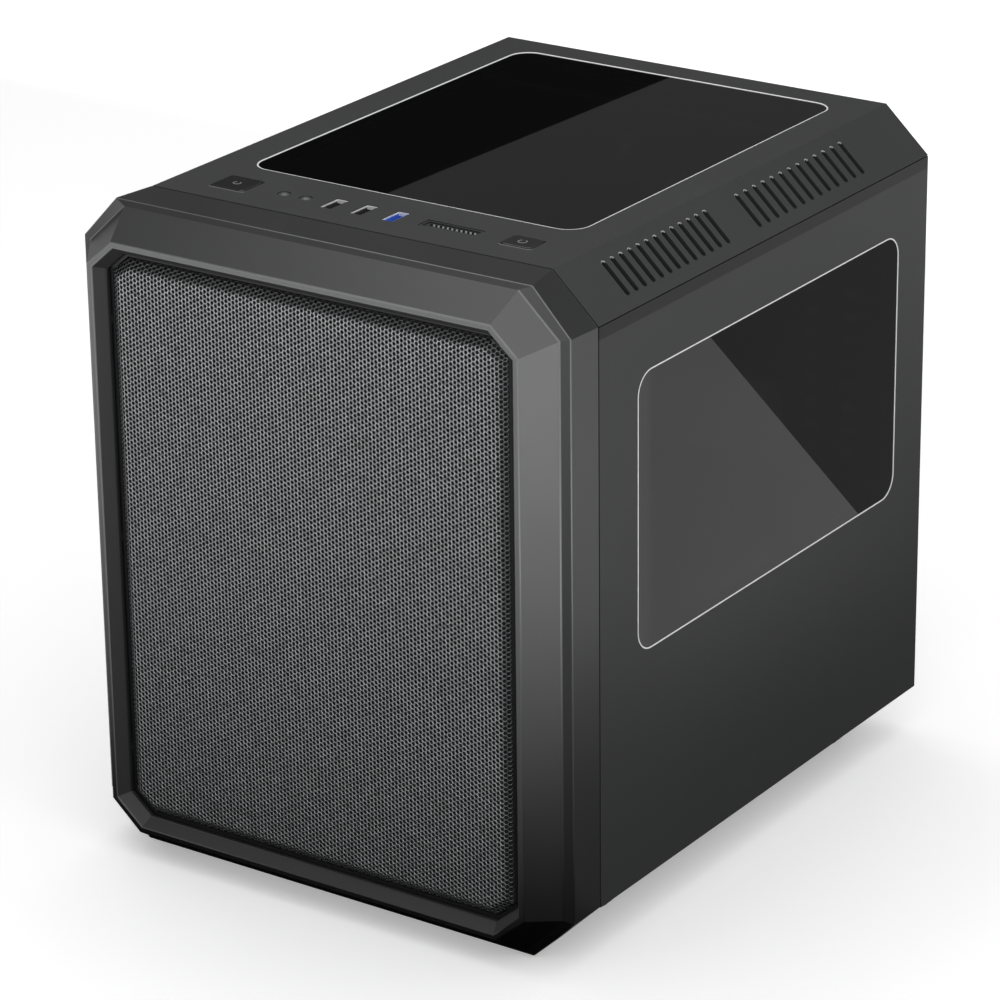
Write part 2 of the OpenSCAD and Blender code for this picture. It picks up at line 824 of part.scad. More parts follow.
module filter_rails() {
  inner = filter_w / 2 + slip;
  front = filter_y - 6;
  rear = body_d - 4;
  low = foot_top - filter_t - 3 * slip;
  stop = 1;
  color("#1c1c1e") placed()
    both_sides() {
      block([inner, front, low - sheet], [inner + rail_wall, rear, foot_top]);
      block([inner - rail_lip, front, low - sheet], [inner + rail_wall, rear, low]);
      block([inner - stop, front, low - sheet], [inner + rail_wall, front + rail_wall, foot_top]);
    }
}

module bottom_filter() {
  low = foot_top - filter_t - 2 * slip;
  rear = filter_y + filter_d;
  mid = filter_y + filter_d / 2;
  web = 0.8;
  frame_w = 6;
  tab = [28, 14];
  grip = [18, 5];
  color("#141416") placed()
    difference() {
      union() {
        block([-filter_w / 2, filter_y, low], [filter_w / 2, rear, low + filter_t]);
        block([-tab.x / 2, rear - eps, low], [tab.x / 2, rear + tab.y, low + filter_t]);
      }
      for (sx = [-1, 1], sy = [-1, 1])
        translate([sx * filter_w / 4, mid + sy * filter_d / 4, low + web])
          linear_extrude(filter_t)
            round_rect([filter_w / 2 - 2 * frame_w, filter_d / 2 - 2 * frame_w], frame_w / 2);
      translate([0, rear + tab.y / 2 - 1, low - 1])
        linear_extrude(filter_t + 2) round_rect(grip, grip.y / 2 - 0.1);
    }
}

module io_board() {
  color("#17251b") placed()
    difference() {
      translate([0, row_y, board_top - board_t])
        linear_extrude(board_t) round_rect([2 * board_half, 24], 2);
      for (x = board_boss_x) translate([x, row_y, board_top - 3]) cylinder(h = 4, r = 1.3);
    }
}

module io_board_screws() {
  color("silver") placed()
    for (x = board_boss_x) translate([x, row_y, board_top - board_t - seat]) {
      translate([0, 0, -1.4]) cylinder(h = 1.4, r = 2.1);
      translate([0, 0, -eps]) cylinder(h = 6, r = 1);
    }
}

// A push cap with a flange under the cover and a stem that enters its switch
module button(x, size) {
  proud = 0.5;
  wide = 1;
  skirt = 1.2;
  stem_low = board_top + seat + switch_floor + button_travel + stem_gap;
  translate([x, row_y, 0]) {
    translate([0, 0, under - slip]) linear_extrude(cover_wall + slip + proud) round_rect(size, 2);
    translate([0, 0, under - slip - skirt]) linear_extrude(skirt + eps)
      round_rect([size.x + 2 * wide, size.y + 2 * wide], 2);
    translate([0, 0, stem_low]) cylinder(h = under - slip - stem_low, r = stem_r);
  }
}

module tact_switch(x) {
  side = 8;
  color("#202020")
    translate([x, row_y, board_top + seat]) difference() {
      translate([-side / 2, -side / 2, 0]) cube([side, side, switch_h]);
      translate([0, 0, switch_floor]) cylinder(h = switch_h, r = stem_r + slip);
    }
}

module power_button() {
  color("#1b1b1d") placed() button(power_x, power_size);
}

module reset_button() {
  color("#1b1b1d") placed() button(reset_x, reset_size);
}

module power_switch() {
  placed() tact_switch(power_x);
}

module reset_switch() {
  placed() tact_switch(reset_x);
}

module indicator_lamps() {
  dome = 0.9;
  sphere_r = (led_r * led_r + dome * dome) / (2 * dome);
  color("#707478") placed()
    for (x = led_x) translate([x, row_y, 0]) {
      translate([0, 0, board_top + seat]) cylinder(h = top_z - board_top - seat - 0.4, r = led_r);
      intersection() {
        translate([0, 0, top_z - 0.4 - eps]) cylinder(h = 3, r = led_r);
        translate([0, 0, top_z - 0.4 + dome - sphere_r]) sphere(sphere_r, $fn = 64);
      }
    }
}

module usb_shell(x) {
  low = board_top + seat;
  color("gainsboro")
    translate([x, row_y, 0]) difference() {
      translate([0, 0, low]) linear_extrude(top_z - low - 0.2) round_rect([usb_w, usb_l], 0.6);
      translate([0, 0, low - 1])
        linear_extrude(top_z) square([usb_w - 2 * usb_wall, usb_l - 2 * usb_wall], center = true);
    }
}

module usb_tongue(x, tint) {
  gap = 0.1;
  low = board_top + seat;
  inner = [usb_w - 2 * (usb_wall + gap), usb_l - 2 * (usb_wall + gap)];
  base_h = 3;
  blade_t = 1.8;
  blade_h = 12;
  side = 0.6;
  color(tint)
    translate([x, row_y, low]) {
      linear_extrude(base_h) square(inner, center = true);
      translate([inner.x / 2 - blade_t - gap, -inner.y / 2 + side, 0])
        cube([blade_t, inner.y - 2 * side, blade_h]);
    }
}

module usb2_shells() {
  placed() for (x = usb2_x) usb_shell(x);
}

module usb2_tongues() {
  placed() for (x = usb2_x) usb_tongue(x, "white");
}

module usb3_shell() {
  placed() usb_shell(usb3_x);
}

module usb3_tongue() {
  placed() usb_tongue(usb3_x, "royalblue");
}

module card_reader() {
  low = board_top + seat;
  high = top_z - 0.3;
  wide_slot = [24.6, 2.6, 12];
  small_slot = [13, 1.6, 9];
  dish = 0.8;
  color("#242527") placed()
    translate([card_x, row_y, 0]) difference() {
      translate([0, 0, low]) linear_extrude(high - low) round_rect(card_size, 1);
      translate([0, 1.3, high - wide_slot.z])
        linear_extrude(wide_slot.z + 1) square([wide_slot.x, wide_slot.y], center = true);
      translate([0, -2.1, high - small_slot.z])
        linear_extrude(small_slot.z + 1) square([small_slot.x, small_slot.y], center = true);
      translate([0, 0, high - dish])
        linear_extrude(1) square([card_size.x - 2, card_size.y - 2 * dish], center = true);
    }
}

// Frame of a fan along +Z, with its motor carried on four struts at the far end
module fan_body(size) {
  bore = size / 2 - fan_rim;
  span = fan_holes(size) / 2;
  hub = size * hub_ratio;
  difference() {
    union() {
      for (z = [0, fan_d - fan_flange])
        translate([0, 0, z]) linear_extrude(fan_flange) round_rect([size, size], fan_corner_r);
      cylinder(h = fan_d, r = bore + fan_wall, $fn = 96);
    }
    translate([0, 0, -1]) cylinder(h = fan_d + 2, r = bore, $fn = 96);
    for (sx = [-1, 1], sy = [-1, 1])
      translate([sx * span, sy * span, -1]) cylinder(h = fan_d + 2, r = fan_hole_r);
  }
  for (a = [0:90:270]) rotate(a)
    translate([hub - 2, -strut_w / 2, fan_d - fan_flange]) cube([bore - hub + 3, strut_w, fan_flange]);
  translate([0, 0, fan_d - fan_flange]) cylinder(h = fan_flange, r = hub);
  translate([0, 0, bearing_z]) cylinder(h = fan_d - fan_flange - bearing_z + eps, r = shaft_r);
}

// Curved blade section, from the hub out to the tip
module blade_section(r0, r1) {
  steps = 4;
  sweep = 26;
  thick = 1.5;
  function at(k, side) = let (r = r0 + (r1 - r0) * k / steps, a = sweep * pow(k / steps, 1.4))
    [r * cos(a) - side * thick / 2 * sin(a), r * sin(a) + side * thick / 2 * cos(a)];
  polygon(concat([for (k = [0:steps]) at(k, -1)], [for (k = [steps:-1:0]) at(k, 1)]));
}

module fan_rotor(size) {
  bore = size / 2 - fan_rim;
  overlap = 1.5;
  hub = size * hub_ratio + overlap;
  height = fan_d - fan_flange - 2 * rotor_gap;
  blade_twist = -34;
  difference() {
    union() {
      translate([0, 0, rotor_gap]) cylinder(h = height, r = hub);
      for (i = [0:blades - 1]) rotate(i * 360 / blades)
        translate([0, 0, 2 * rotor_gap])
          linear_extrude(height - 2 * rotor_gap, twist = blade_twist, slices = 5, $fn = 0)
          blade_section(hub - 1, bore - fan_tip_gap);
    }
    translate([0, 0, bearing_z - 1]) cylinder(h = fan_d, r = shaft_r + thread_gap);
  }
}

module front_fan_place() {
  translate([0, front_in + seat, front_fan_z]) rotate([-90, 0, 0]) children();
}

module rear_fan_place() {
  translate([board_x, rear_in - seat - fan_d, rear_fan_z]) rotate([-90, 0, 0]) children();
}

module front_fan_frame() {
  color("#161618") placed() front_fan_place() fan_body(front_fan);
}

module front_fan_rotor() {
  color("#1f2023") placed() front_fan_place() fan_rotor(front_fan);
}

module rear_fan_frame() {
  color("#161618") placed() rear_fan_place() fan_body(rear_fan);
}

module rear_fan_rotor() {
  color("#1f2023") placed() rear_fan_place() fan_rotor(rear_fan);
}

module front_fan_screws() {
  span = fan_holes(front_fan) / 2;
  color("silver") placed()
    for (sx = [-1, 1], sz = [-1, 1]) {
      rod_y(sx * span, front_fan_z + sz * span, front_y - seat - fan_head_h, fan_head_h, fan_head_r);
      rod_y(sx * span, front_fan_z + sz * span, front_y - seat - eps, fan_screw_len, fan_screw_r);
    }
}

module rear_fan_screws() {
  span = fan_holes(rear_fan) / 2;
  color("silver") placed()
    for (sx = [-1, 1], sz = [-1, 1]) {
      rod_y(board_x + sx * span, rear_fan_z + sz * span, rear_out + seat, fan_head_h, fan_head_r);
      rod_y(board_x + sx * span, rear_fan_z + sz * span, rear_out + seat + eps - fan_screw_len,
            fan_screw_len, fan_screw_r);
    }
}

module front_filter() {
  size = front_fan + 6;
  span = fan_holes(front_fan) / 2;
  thick = 3;
  web = 1;
  pane_pitch = size / 3.2;
  pane = size / 3.6;
  color("#202124") placed()
    translate([0, 0, front_fan_z]) difference() {
      along_y(front_y - seat - thick, thick) round_rect([size, size], 6);
      along_y(front_y - seat - thick - web, thick) for (i = [-1:1], j = [-1:1])
        translate([i * pane_pitch, j * pane_pitch]) round_rect([pane, pane], 3);
      for (sx = [-1, 1], sz = [-1, 1])
        rod_y(sx * span, sz * span, front_y - 2 * thick, 8, fan_head_r + 2 * slip);
    }
}

module side_panel(with_window) {
  difference() {
    union() {
      block([half_w - sheet, seam, 0], [half_w, body_d, side_h]);
      block([half_w - hem, seam, 0], [half_w, body_d, sheet]);
      block([half_w - hem, seam, side_h - sheet], [half_w, body_d, side_h]);
      block([half_w - hem, seam, 0], [half_w, seam + sheet, side_h]);
      block([half_w - rear_flange, body_d - sheet, 0], [half_w, body_d, side_h]);
    }
    for (z = thumb_z) rod_y(thumb_x, z, body_d - 2, 3, thumb_r + 0.7);
    if (with_window)
      translate([0, side_win_y + side_win_w / 2, side_win_z + side_win_h / 2])
        along_x(half_w - 3, 6) round_rect([side_win_w, side_win_h], window_r);
  }
}

module left_panel() {
  color("#2f3033") placed() mirror([1, 0, 0]) side_panel(false);
}

module right_panel() {
  color("#2f3033") placed() side_panel(true);
}

module rivet_places() {
  inset = win_flange / 2;
  mid_y = side_win_y + side_win_w / 2;
  mid_z = side_win_z + side_win_h / 2;
  for (i = [-1.5:1:1.5], s = [-1, 1])
    translate([0, mid_y + i * side_win_w / 3.4, mid_z + s * (side_win_h / 2 + inset)]) children();
}

module side_window() {
  color([0.15, 0.15, 0.16, 0.9]) placed()
    difference() {
      translate([0, side_win_y + side_win_w / 2, side_win_z + side_win_h / 2]) {
        along_x(half_w - sheet - seat - 2, 2)
          round_rect([side_win_w + 2 * win_flange, side_win_h + 2 * win_flange], window_r + win_flange);
        along_x(half_w - sheet - seat - eps, sheet - seat)
          round_rect([side_win_w - 2 * slip, side_win_h - 2 * slip], window_r - slip);
      }
      rivet_places() translate([half_w - 8, 0, 0]) rotate([0, 90, 0]) cylinder(h = 10, r = 1.3);
    }
}

module window_rivets() {
  color("#202124") placed()
    rivet_places() translate([half_w - sheet - 2 * seat - 2 - 1.3, 0, 0]) rotate([0, 90, 0]) {
      cylinder(h = 1.3, r = 2.8);
      translate([0, 0, 1.3 - eps]) cylinder(h = 2 + seat, r = 1.1);
    }
}

module thumbscrew(z) {
  flutes = 18;
  flute_r = 0.7;
  flute_at = thumb_head_r + 0.3;
  slit = [1.2, 2, 8];
  thread = 4;
  difference() {
    union() {
      rod_y(thumb_x, z, body_d + seat, thumb_len - seat, thumb_head_r);
      rod_y(thumb_x, z, rear_in - thread, body_d + seat - rear_in + thread + eps, thumb_r);
    }
    for (i = [0:flutes - 1])
      rod_y(thumb_x + flute_at * cos(i * 360 / flutes), z + flute_at * sin(i * 360 / flutes),
            body_d + 1, thumb_len - 2, flute_r, $fn = 16);
    translate([thumb_x - slit.x / 2, body_d + thumb_len - slit.x, z - slit.z / 2]) cube(slit);
  }
}

module left_thumbscrews() {
  color("silver") placed() mirror([1, 0, 0]) for (z = thumb_z) thumbscrew(z);
}

module right_thumbscrews() {
  color("silver") placed() for (z = thumb_z) thumbscrew(z);
}

base_pan();
front_panel();
rear_panel();
left_rail();
right_rail();
motherboard_tray();
standoffs();
psu_pads();
drive_cage();
drive_tray_lower();
drive_tray_upper();
slot_covers();
slot_cover_screws();
feet();
foot_pads();
foot_screws();
filter_rails();
bottom_filter();
top_cover();
top_window();
cover_screws();
io_board();
io_board_screws();
power_button();
power_switch();
reset_button();
reset_switch();
indicator_lamps();
usb2_shells();
usb2_tongues();
usb3_shell();
usb3_tongue();
card_reader();
front_fan_frame();
front_fan_rotor();
front_fan_screws();
rear_fan_frame();
rear_fan_rotor();
rear_fan_screws();
front_filter();
front_bezel();
bezel_pins();
front_mesh();
mesh_liner();
mesh_push_nuts();
left_panel();
right_panel();
side_window();
window_rivets();
left_thumbscrews();
right_thumbscrews();
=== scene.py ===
import json
import logging
import math
from dataclasses import dataclass, field
from enum import Enum
from typing import Any, Callable, Optional, Sequence, Tuple, Union

import bmesh
import bpy
import numpy as np
from mathutils import Matrix, Vector


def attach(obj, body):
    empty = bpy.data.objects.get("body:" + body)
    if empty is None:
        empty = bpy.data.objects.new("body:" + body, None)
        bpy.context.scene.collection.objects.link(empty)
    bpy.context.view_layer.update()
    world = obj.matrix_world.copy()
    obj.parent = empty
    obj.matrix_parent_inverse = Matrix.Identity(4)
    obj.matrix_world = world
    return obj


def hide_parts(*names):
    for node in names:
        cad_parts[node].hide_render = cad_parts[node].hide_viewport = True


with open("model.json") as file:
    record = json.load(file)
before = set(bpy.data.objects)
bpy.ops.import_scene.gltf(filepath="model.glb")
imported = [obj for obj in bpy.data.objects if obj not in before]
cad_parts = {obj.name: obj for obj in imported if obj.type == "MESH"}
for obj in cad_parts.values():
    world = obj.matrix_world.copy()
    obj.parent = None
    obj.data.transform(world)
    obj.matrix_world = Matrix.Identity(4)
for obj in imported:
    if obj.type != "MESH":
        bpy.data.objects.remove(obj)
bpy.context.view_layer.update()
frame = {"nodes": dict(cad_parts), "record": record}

LOG = logging.getLogger("cube_case")

# Lengths below are millimetres in the case's own measures: x from the middle, y back from the
# seam between bezel and body, z up from the lower edge of the side panels.
SEAM_TO_ROW = np.array([0.0, -126.3, 22.0])
MM = 0.001
MITRE = math.tan(math.radians(22.5))
TOP_Z = 294.0
ROW_Y = 22.4
UP = (0.0, 0.0, 1.0)
WHITE = (1.0, 1.0, 1.0, 1.0)


class Body(Enum):
    """The CAD bodies that the pieces ride on."""

    CHASSIS = "chassis"
    BEZEL = "bezel"
    RIGHT_SIDE = "right_side"
    POWER_KEY = "power_key"
    RESET_KEY = "reset_key"


def to_row(points: np.ndarray) -> np.ndarray:
    """Turns millimetres in the case's measures into metres in the row frame."""
    return (np.asarray(points, float) + SEAM_TO_ROW) * MM


# ---------------------------------------------------------------- shader graph


class Wire:
    """One output socket of a shader node, with the operators that add Math nodes."""

    def __init__(self, graph: "Graph", socket: bpy.types.NodeSocket) -> None:
        """Keeps the graph that the socket belongs to and the socket."""
        self.graph = graph
        self.socket = socket

    def _with(self, operation: str, first: Any, second: Any) -> "Wire":
        """Adds one Math node for two numbers or wires."""
        return self.graph.node(
            "ShaderNodeMath", {"operation": operation}, {0: first, 1: second}
        )

    def __add__(self, other: Any) -> "Wire":
        """self + other"""
        return self._with("ADD", self, other)

    def __radd__(self, other: Any) -> "Wire":
        """other + self"""
        return self._with("ADD", other, self)

    def __sub__(self, other: Any) -> "Wire":
        """self - other"""
        return self._with("SUBTRACT", self, other)

    def __rsub__(self, other: Any) -> "Wire":
        """other - self"""
        return self._with("SUBTRACT", other, self)

    def __mul__(self, other: Any) -> "Wire":
        """self * other"""
        return self._with("MULTIPLY", self, other)

    def __rmul__(self, other: Any) -> "Wire":
        """other * self"""
        return self._with("MULTIPLY", other, self)

    def __gt__(self, other: Any) -> "Wire":
        """1 where self is greater than other, else 0"""
        return self._with("GREATER_THAN", self, other)

    def __lt__(self, other: Any) -> "Wire":
        """1 where self is less than other, else 0"""
        return self._with("LESS_THAN", self, other)

    def size(self) -> "Wire":
        """self without its sign"""
        return self._with("ABSOLUTE", self, 0.0)

    def ramp(self, low: float, high: float) -> "Wire":
        """0 at low, 1 at high, straight between and held outside."""
        return self.graph.node(
            "ShaderNodeMapRange",
            {"clamp": True},
            {"Value": self, "From Min": low, "From Max": high},
        )


class Graph:
    """The node tree of one material or of the world."""

    def __init__(self, tree: bpy.types.NodeTree) -> None:
        """Starts from an empty tree."""
        self.tree = tree
        tree.nodes.clear()

    def node(
        self,
        kind: str,
        settings: Optional[dict] = None,
        sockets: Optional[dict] = None,
        out: Union[int, str] = 0,
    ) -> Wire:
        """Adds a node.

        Args:
            kind: the node's type.
            settings: its own settings, set first.
            sockets: values or wires for its inputs, by name or number.
            out: the output to hand back.

        Returns:
            The wire of that output.
        """
        made = self.tree.nodes.new(kind)
        for key, value in (settings or {}).items():
            setattr(made, key, value)
        for key, value in (sockets or {}).items():
            if isinstance(value, Wire):
                self.tree.links.new(value.socket, made.inputs[key])
            else:
                made.inputs[key].default_value = value
        return Wire(self, made.outputs[out] if len(made.outputs) else None)

    def place(self) -> Wire:
        """The point on the object, in metres."""
        return self.node("ShaderNodeTexCoord", out="Object")

    def split(self, vector: Wire) -> Tuple[Wire, Wire, Wire]:
        """The x, y and z of a vector."""
        made = self.node("ShaderNodeSeparateXYZ", sockets={0: vector})
        return tuple(Wire(self, made.socket.node.outputs[i]) for i in range(3))

    def noise(self, scale: float, detail: float = 2.0, vector: Optional[Wire] = None) -> Wire:
        """Soft noise from 0 to 1 with the given number of cells in a metre."""
        return self.node(
            "ShaderNodeTexNoise",
            sockets={"Vector": vector or self.place(), "Scale": scale, "Detail": detail},
        )

    def blend(self, factor: Any, first: Any, second: Any) -> Wire:
        """Colour between first and second."""
        return self.node(
            "ShaderNodeMix",
            {"data_type": "RGBA"},
            {0: factor, 6: first, 7: second},
            out=2,
        )

    def bump(self, height: Wire, depth: float) -> Wire:
        """Normal from a height of 0 to 1 that stands depth metres tall."""
        return self.node(
            "ShaderNodeBump", sockets={"Height": height, "Distance": depth, "Strength": 1.0}
        )

    def surface(self, sockets: dict) -> Wire:
        """A Principled shader with the given sockets."""
        return self.node("ShaderNodeBsdfPrincipled", sockets=sockets)

    def finish(self, shader: Wire) -> None:
        """Links the shader to the output."""
        self.node("ShaderNodeOutputMaterial", sockets={"Surface": shader})


def grey(value: float) -> Tuple[float, float, float, float]:
    """A near neutral colour with a slightly cold cast."""
    return (value, value * 1.02, value * 1.04, 1.0)


# ---------------------------------------------------------------- finishes


@dataclass(frozen=True)
class MouldedPlastic:
    """Textured black moulded plastic: fine grain, faint cloudiness and mould flow."""

    tone: float = 0.05
    roughness: float = 0.44
    grain: float = 2600.0
    depth: float = 0.00003
    gleam: float = 0.5

    def dress(self, graph: Graph) -> Wire:
        """Makes the shader.

        Args:
            graph: the material's nodes.

        Returns:
            The shader.
        """
        cloud = graph.noise(9.0, 3.0)
        fine = graph.noise(self.grain, 1.0)
        colour = graph.blend(
            cloud * 0.6 + fine * 0.4, grey(self.tone * 0.86), grey(self.tone * 1.14)
        )
        return graph.surface({
            "Base Color": colour,
            "Roughness": self.roughness - 0.05 + graph.noise(22.0, 4.0) * 0.1,
            "Normal": graph.bump(fine, self.depth),
            "Specular IOR Level": self.gleam,
        })


@dataclass(frozen=True)
class ThroatPlastic:
    """The bezel's moulded plastic: a painted highlight on the lip, and painted shade nearly black
    inside the mesh's throat.
    """

    outside: MouldedPlastic = MouldedPlastic(tone=0.015, roughness=0.34, gleam=0.8)
    half: float = 0.1126
    low: float = 0.0162
    high: float = 0.2992
    corner: float = 0.2898
    low_corner: float = 0.0535
    lip: float = -0.16455
    # Tone of the lip's painted highlight.
    pale: float = 0.075

    def dress(self, graph: Graph) -> Wire:
        """Makes the shader: the throat is the lip's octagon, behind the lip's face.

        Painted shade makes the plastic darker towards the floor.

        Args:
            graph: the material's nodes.

        Returns:
            The shader.
        """
        x, y, z = graph.split(graph.place())
        wide = x.size()
        # Painted shade: inside the lip's octagon, behind the lip's face, the plastic is made nearly
        # black.
        throat = (
            (wide < self.half) * (z > self.low) * (z < self.high)
            * (wide * 0.666 + z * 0.746 < self.corner) * (y > -0.1642)
            * (wide * 0.664 - z * 0.747 < self.low_corner)
        )
        fine = graph.noise(self.outside.grain, 1.0)
        tone = self.outside.tone
        colour = graph.blend(
            graph.noise(9.0, 3.0) * 0.6 + fine * 0.4, grey(tone * 0.86), grey(tone * 1.14)
        )
        # Painted highlight: the lip's front face is paler than the rest of the plastic.
        whole = graph.blend(y < self.lip, colour, grey(self.pale))
        return graph.surface({
            # Painted shade: darker towards the floor, and nearly black in the throat.
            "Base Color": graph.blend(
                throat, graph.blend(z.ramp(0.02, 0.22), grey(0.002), whole), grey(0.002)
            ),
            "Roughness": self.outside.roughness - 0.05 + graph.noise(22.0, 4.0) * 0.1
            + throat * 0.35,
            "Normal": graph.bump(fine, self.outside.depth),
            "Specular IOR Level": self.outside.gleam,
        })


@dataclass(frozen=True)
class SatinPaint:
    """Powder paint on sheet steel: very fine orange peel and a soft sheen, painted shade along the
    seam.
    """

    tone: float = 0.04
    roughness: float = 0.4
    peel: float = 1500.0
    depth: float = 0.00002
    # Height of the seam; the colour is painted shade from just under it upwards.
    seam: float = 0.2888

    def dress(self, graph: Graph) -> Wire:
        """Makes the shader.

        Args:
            graph: the material's nodes.

        Returns:
            The shader.
        """
        peel = graph.noise(self.peel, 2.0)
        speck = graph.noise(5200.0, 0.0)
        colour = graph.blend(
            graph.noise(6.0, 2.0) * 0.5 + speck * 0.5,
            grey(self.tone * 0.84),
            grey(self.tone * 1.16),
        )
        _, _, z = graph.split(graph.place())
        return graph.surface({
            # Painted shade: nearly black from half a millimetre under the seam upwards.
            "Base Color": graph.blend(z > self.seam - 0.0005, colour, grey(0.001)),
            "Roughness": self.roughness - 0.04 + graph.noise(40.0, 3.0) * 0.08,
            "Normal": graph.bump(peel, self.depth),
            "Specular IOR Level": 0.36,
        })


@dataclass(frozen=True)
class MeshPaint:
    """Thin satin paint over the punched front mesh: painted highlight on the crests, painted shade
    towards the holes and on the flanks.
    """

    tone: float = 0.31
    roughness: float = 0.36

    def dress(self, graph: Graph) -> Wire:
        """Makes the shader.

        Args:
            graph: the material's nodes.

        Returns:
            The shader.
        """
        grain = graph.noise(1100.0, 1.0).ramp(0.25, 0.75)
        # Painted light and shade: bright on the front rims, dark round the holes and at the back.
        crest_shading = graph.node(
            "ShaderNodeAttribute", {"attribute_name": "crest_shading"}, out="Fac"
        )
        bright = graph.blend(grain, grey(self.tone * 0.5), grey(self.tone * 1.7))
        return graph.surface({
            "Base Color": graph.blend(crest_shading, grey(self.tone * 0.1), bright),
            "Metallic": 0.8,
            "Roughness": self.roughness - 0.06 + grain * 0.12,
            "Normal": graph.bump(graph.noise(3000.0, 1.0), 0.00001),
        })


@dataclass(frozen=True)
class SmokedAcrylic:
    """Dark acrylic sheet: nearly opaque, polished, with faint polishing haze."""

    tone: float = 0.002
    alpha: float = 0.96

    def dress(self, graph: Graph) -> Wire:
        """Makes the shader.

        Args:
            graph: the material's nodes.

        Returns:
            The shader.
        """
        haze = graph.noise(55.0, 5.0)
        return graph.surface({
            "Base Color": graph.blend(haze, grey(self.tone * 0.7), grey(self.tone * 1.3)),
            "Roughness": 0.004 + haze * 0.008,
            "Alpha": self.alpha,
            "IOR": 1.49,
        })


@dataclass(frozen=True)
class PlatedMetal:
    """Plated metal: a grain of fine scratches along the part."""

    colour: Tuple[float, float, float, float] = (0.62, 0.62, 0.61, 1.0)
    roughness: float = 0.28
    scratches: float = 2400.0
    metal: float = 1.0

    def dress(self, graph: Graph) -> Wire:
        """Makes the shader.

        Args:
            graph: the material's nodes.

        Returns:
            The shader.
        """
        stretched = graph.node(
            "ShaderNodeMapping",
            sockets={"Vector": graph.place(), "Scale": (1.0, 0.08, 1.0)},
        )
        lines = graph.noise(self.scratches, 2.0, stretched)
        dark = tuple(c * 0.7 for c in self.colour[:3]) + (1.0,)
        return graph.surface({
            "Base Color": graph.blend(lines, dark, self.colour),
            "Metallic": self.metal,
            "Roughness": self.roughness - 0.07 + lines * 0.14,
            "Normal": graph.bump(lines, 0.00001),
        })


@dataclass(frozen=True)
class PortShell:
    """A port's tinned shell: a painted highlight along two sides, and a dark painted shade inside,
    tinted in the blue port.
    """

    # Painted shade: the dark colour of the shell's inside.
    inside: Tuple[float, float, float, float] = (0.04, 0.04, 0.042, 1.0)
    left_walls: Tuple[float, ...] = (-0.0257, -0.0095, 0.0075)
    rear_wall: float = -0.0979
    left_depth: float = 0.3152
    rear_depth: float = 0.3141

    def dress(self, graph: Graph) -> Wire:
        """Makes the shader: a painted highlight high on the left walls, and lower down on the rear
        walls.

        Args:
            graph: the material's nodes.

        Returns:
            The shader.
        """
        x, y, z = graph.split(graph.place())
        # Painted highlight on parts of the left and rear walls.
        rear = (y > self.rear_wall) * (z > self.rear_depth)
        left = sum(((x - wall).size() < 0.0004) * 1.0 for wall in self.left_walls)
        painted_glint = (rear + left * (z > self.left_depth)) > 0.5
        marks = graph.noise(1500.0, 2.0)
        bright = graph.blend(marks, (0.75, 0.75, 0.76, 1.0), (0.97, 0.97, 0.97, 1.0))
        pale = tuple(min(1.0, c * 1.6) for c in self.inside[:3]) + (1.0,)
        return graph.surface({
            "Base Color": graph.blend(painted_glint, graph.blend(marks, self.inside, pale), bright),
            "Metallic": 0.25,
            "Roughness": 0.3 + marks * 0.1,
        })


@dataclass(frozen=True)
class Gloss:
    """Glossy moulded plastic with faint waviness and a few dust specks."""

    colour: Tuple[float, float, float, float] = (0.02, 0.02, 0.022, 1.0)
    roughness: float = 0.14
    coat: float = 0.3

    def dress(self, graph: Graph) -> Wire:
        """Makes the shader.

        Args:
            graph: the material's nodes.

        Returns:
            The shader.
        """
        wave = graph.noise(160.0, 2.0)
        pale = tuple(min(1.0, c * 1.25 + 0.004) for c in self.colour[:3]) + (1.0,)
        return graph.surface({
            "Base Color": graph.blend(graph.noise(900.0, 3.0), self.colour, pale),
            "Roughness": self.roughness + wave * 0.06,
            "Normal": graph.bump(wave, 0.00002),
            "Coat Weight": self.coat,
        })


@dataclass(frozen=True)
class WovenNet:
    """A fine nylon net: crossing threads as height and shade."""

    tone: float = 0.01
    threads: float = 5200.0

    def dress(self, graph: Graph) -> Wire:
        """Makes the shader.

        Args:
            graph: the material's nodes.

        Returns:
            The shader.
        """
        x, y, z = graph.split(graph.place())
        warp = graph.node(
            "ShaderNodeMath", {"operation": "SINE"}, {0: (x + z) * self.threads}
        )
        weft = graph.node(
            "ShaderNodeMath", {"operation": "SINE"}, {0: (y + z) * self.threads}
        )
        knots = (warp * weft + 1.0) * 0.5
        return graph.surface({
            "Base Color": graph.blend(knots, grey(self.tone * 0.4), grey(self.tone * 1.8)),
            "Roughness": 0.6 + knots * 0.2,
            "Normal": graph.bump(knots, 0.00012),
        })


@dataclass(frozen=True)
class Rubber:
    """Dull rubber with a powdery bloom."""

    tone: float = 0.025

    def dress(self, graph: Graph) -> Wire:
        """Makes the shader.

        Args:
            graph: the material's nodes.

        Returns:
            The shader.
        """
        bloom = graph.noise(240.0, 5.0)
        return graph.surface({
            "Base Color": graph.blend(bloom, grey(self.tone * 0.7), grey(self.tone * 1.7)),
            "Roughness": 0.72 + bloom * 0.2,
            "Normal": graph.bump(graph.noise(1800.0, 2.0), 0.00005),
        })


@dataclass(frozen=True)
class CircuitBoard:
    """Lacquered board with buried copper runs under the green."""

    def dress(self, graph: Graph) -> Wire:
        """Makes the shader.

        Args:
            graph: the material's nodes.

        Returns:
            The shader.
        """
        runs = graph.node(
            "ShaderNodeTexVoronoi",
            {"distance": "MANHATTAN", "feature": "F1"},
            {"Vector": graph.place(), "Scale": 210.0},
        )
        mask = runs > 0.42
        return graph.surface({
            "Base Color": graph.blend(mask, (0.012, 0.05, 0.028, 1), (0.02, 0.085, 0.045, 1)),
            "Roughness": 0.3 + graph.noise(90.0) * 0.1,
            "Normal": graph.bump(mask * 1.0, 0.00003),
        })


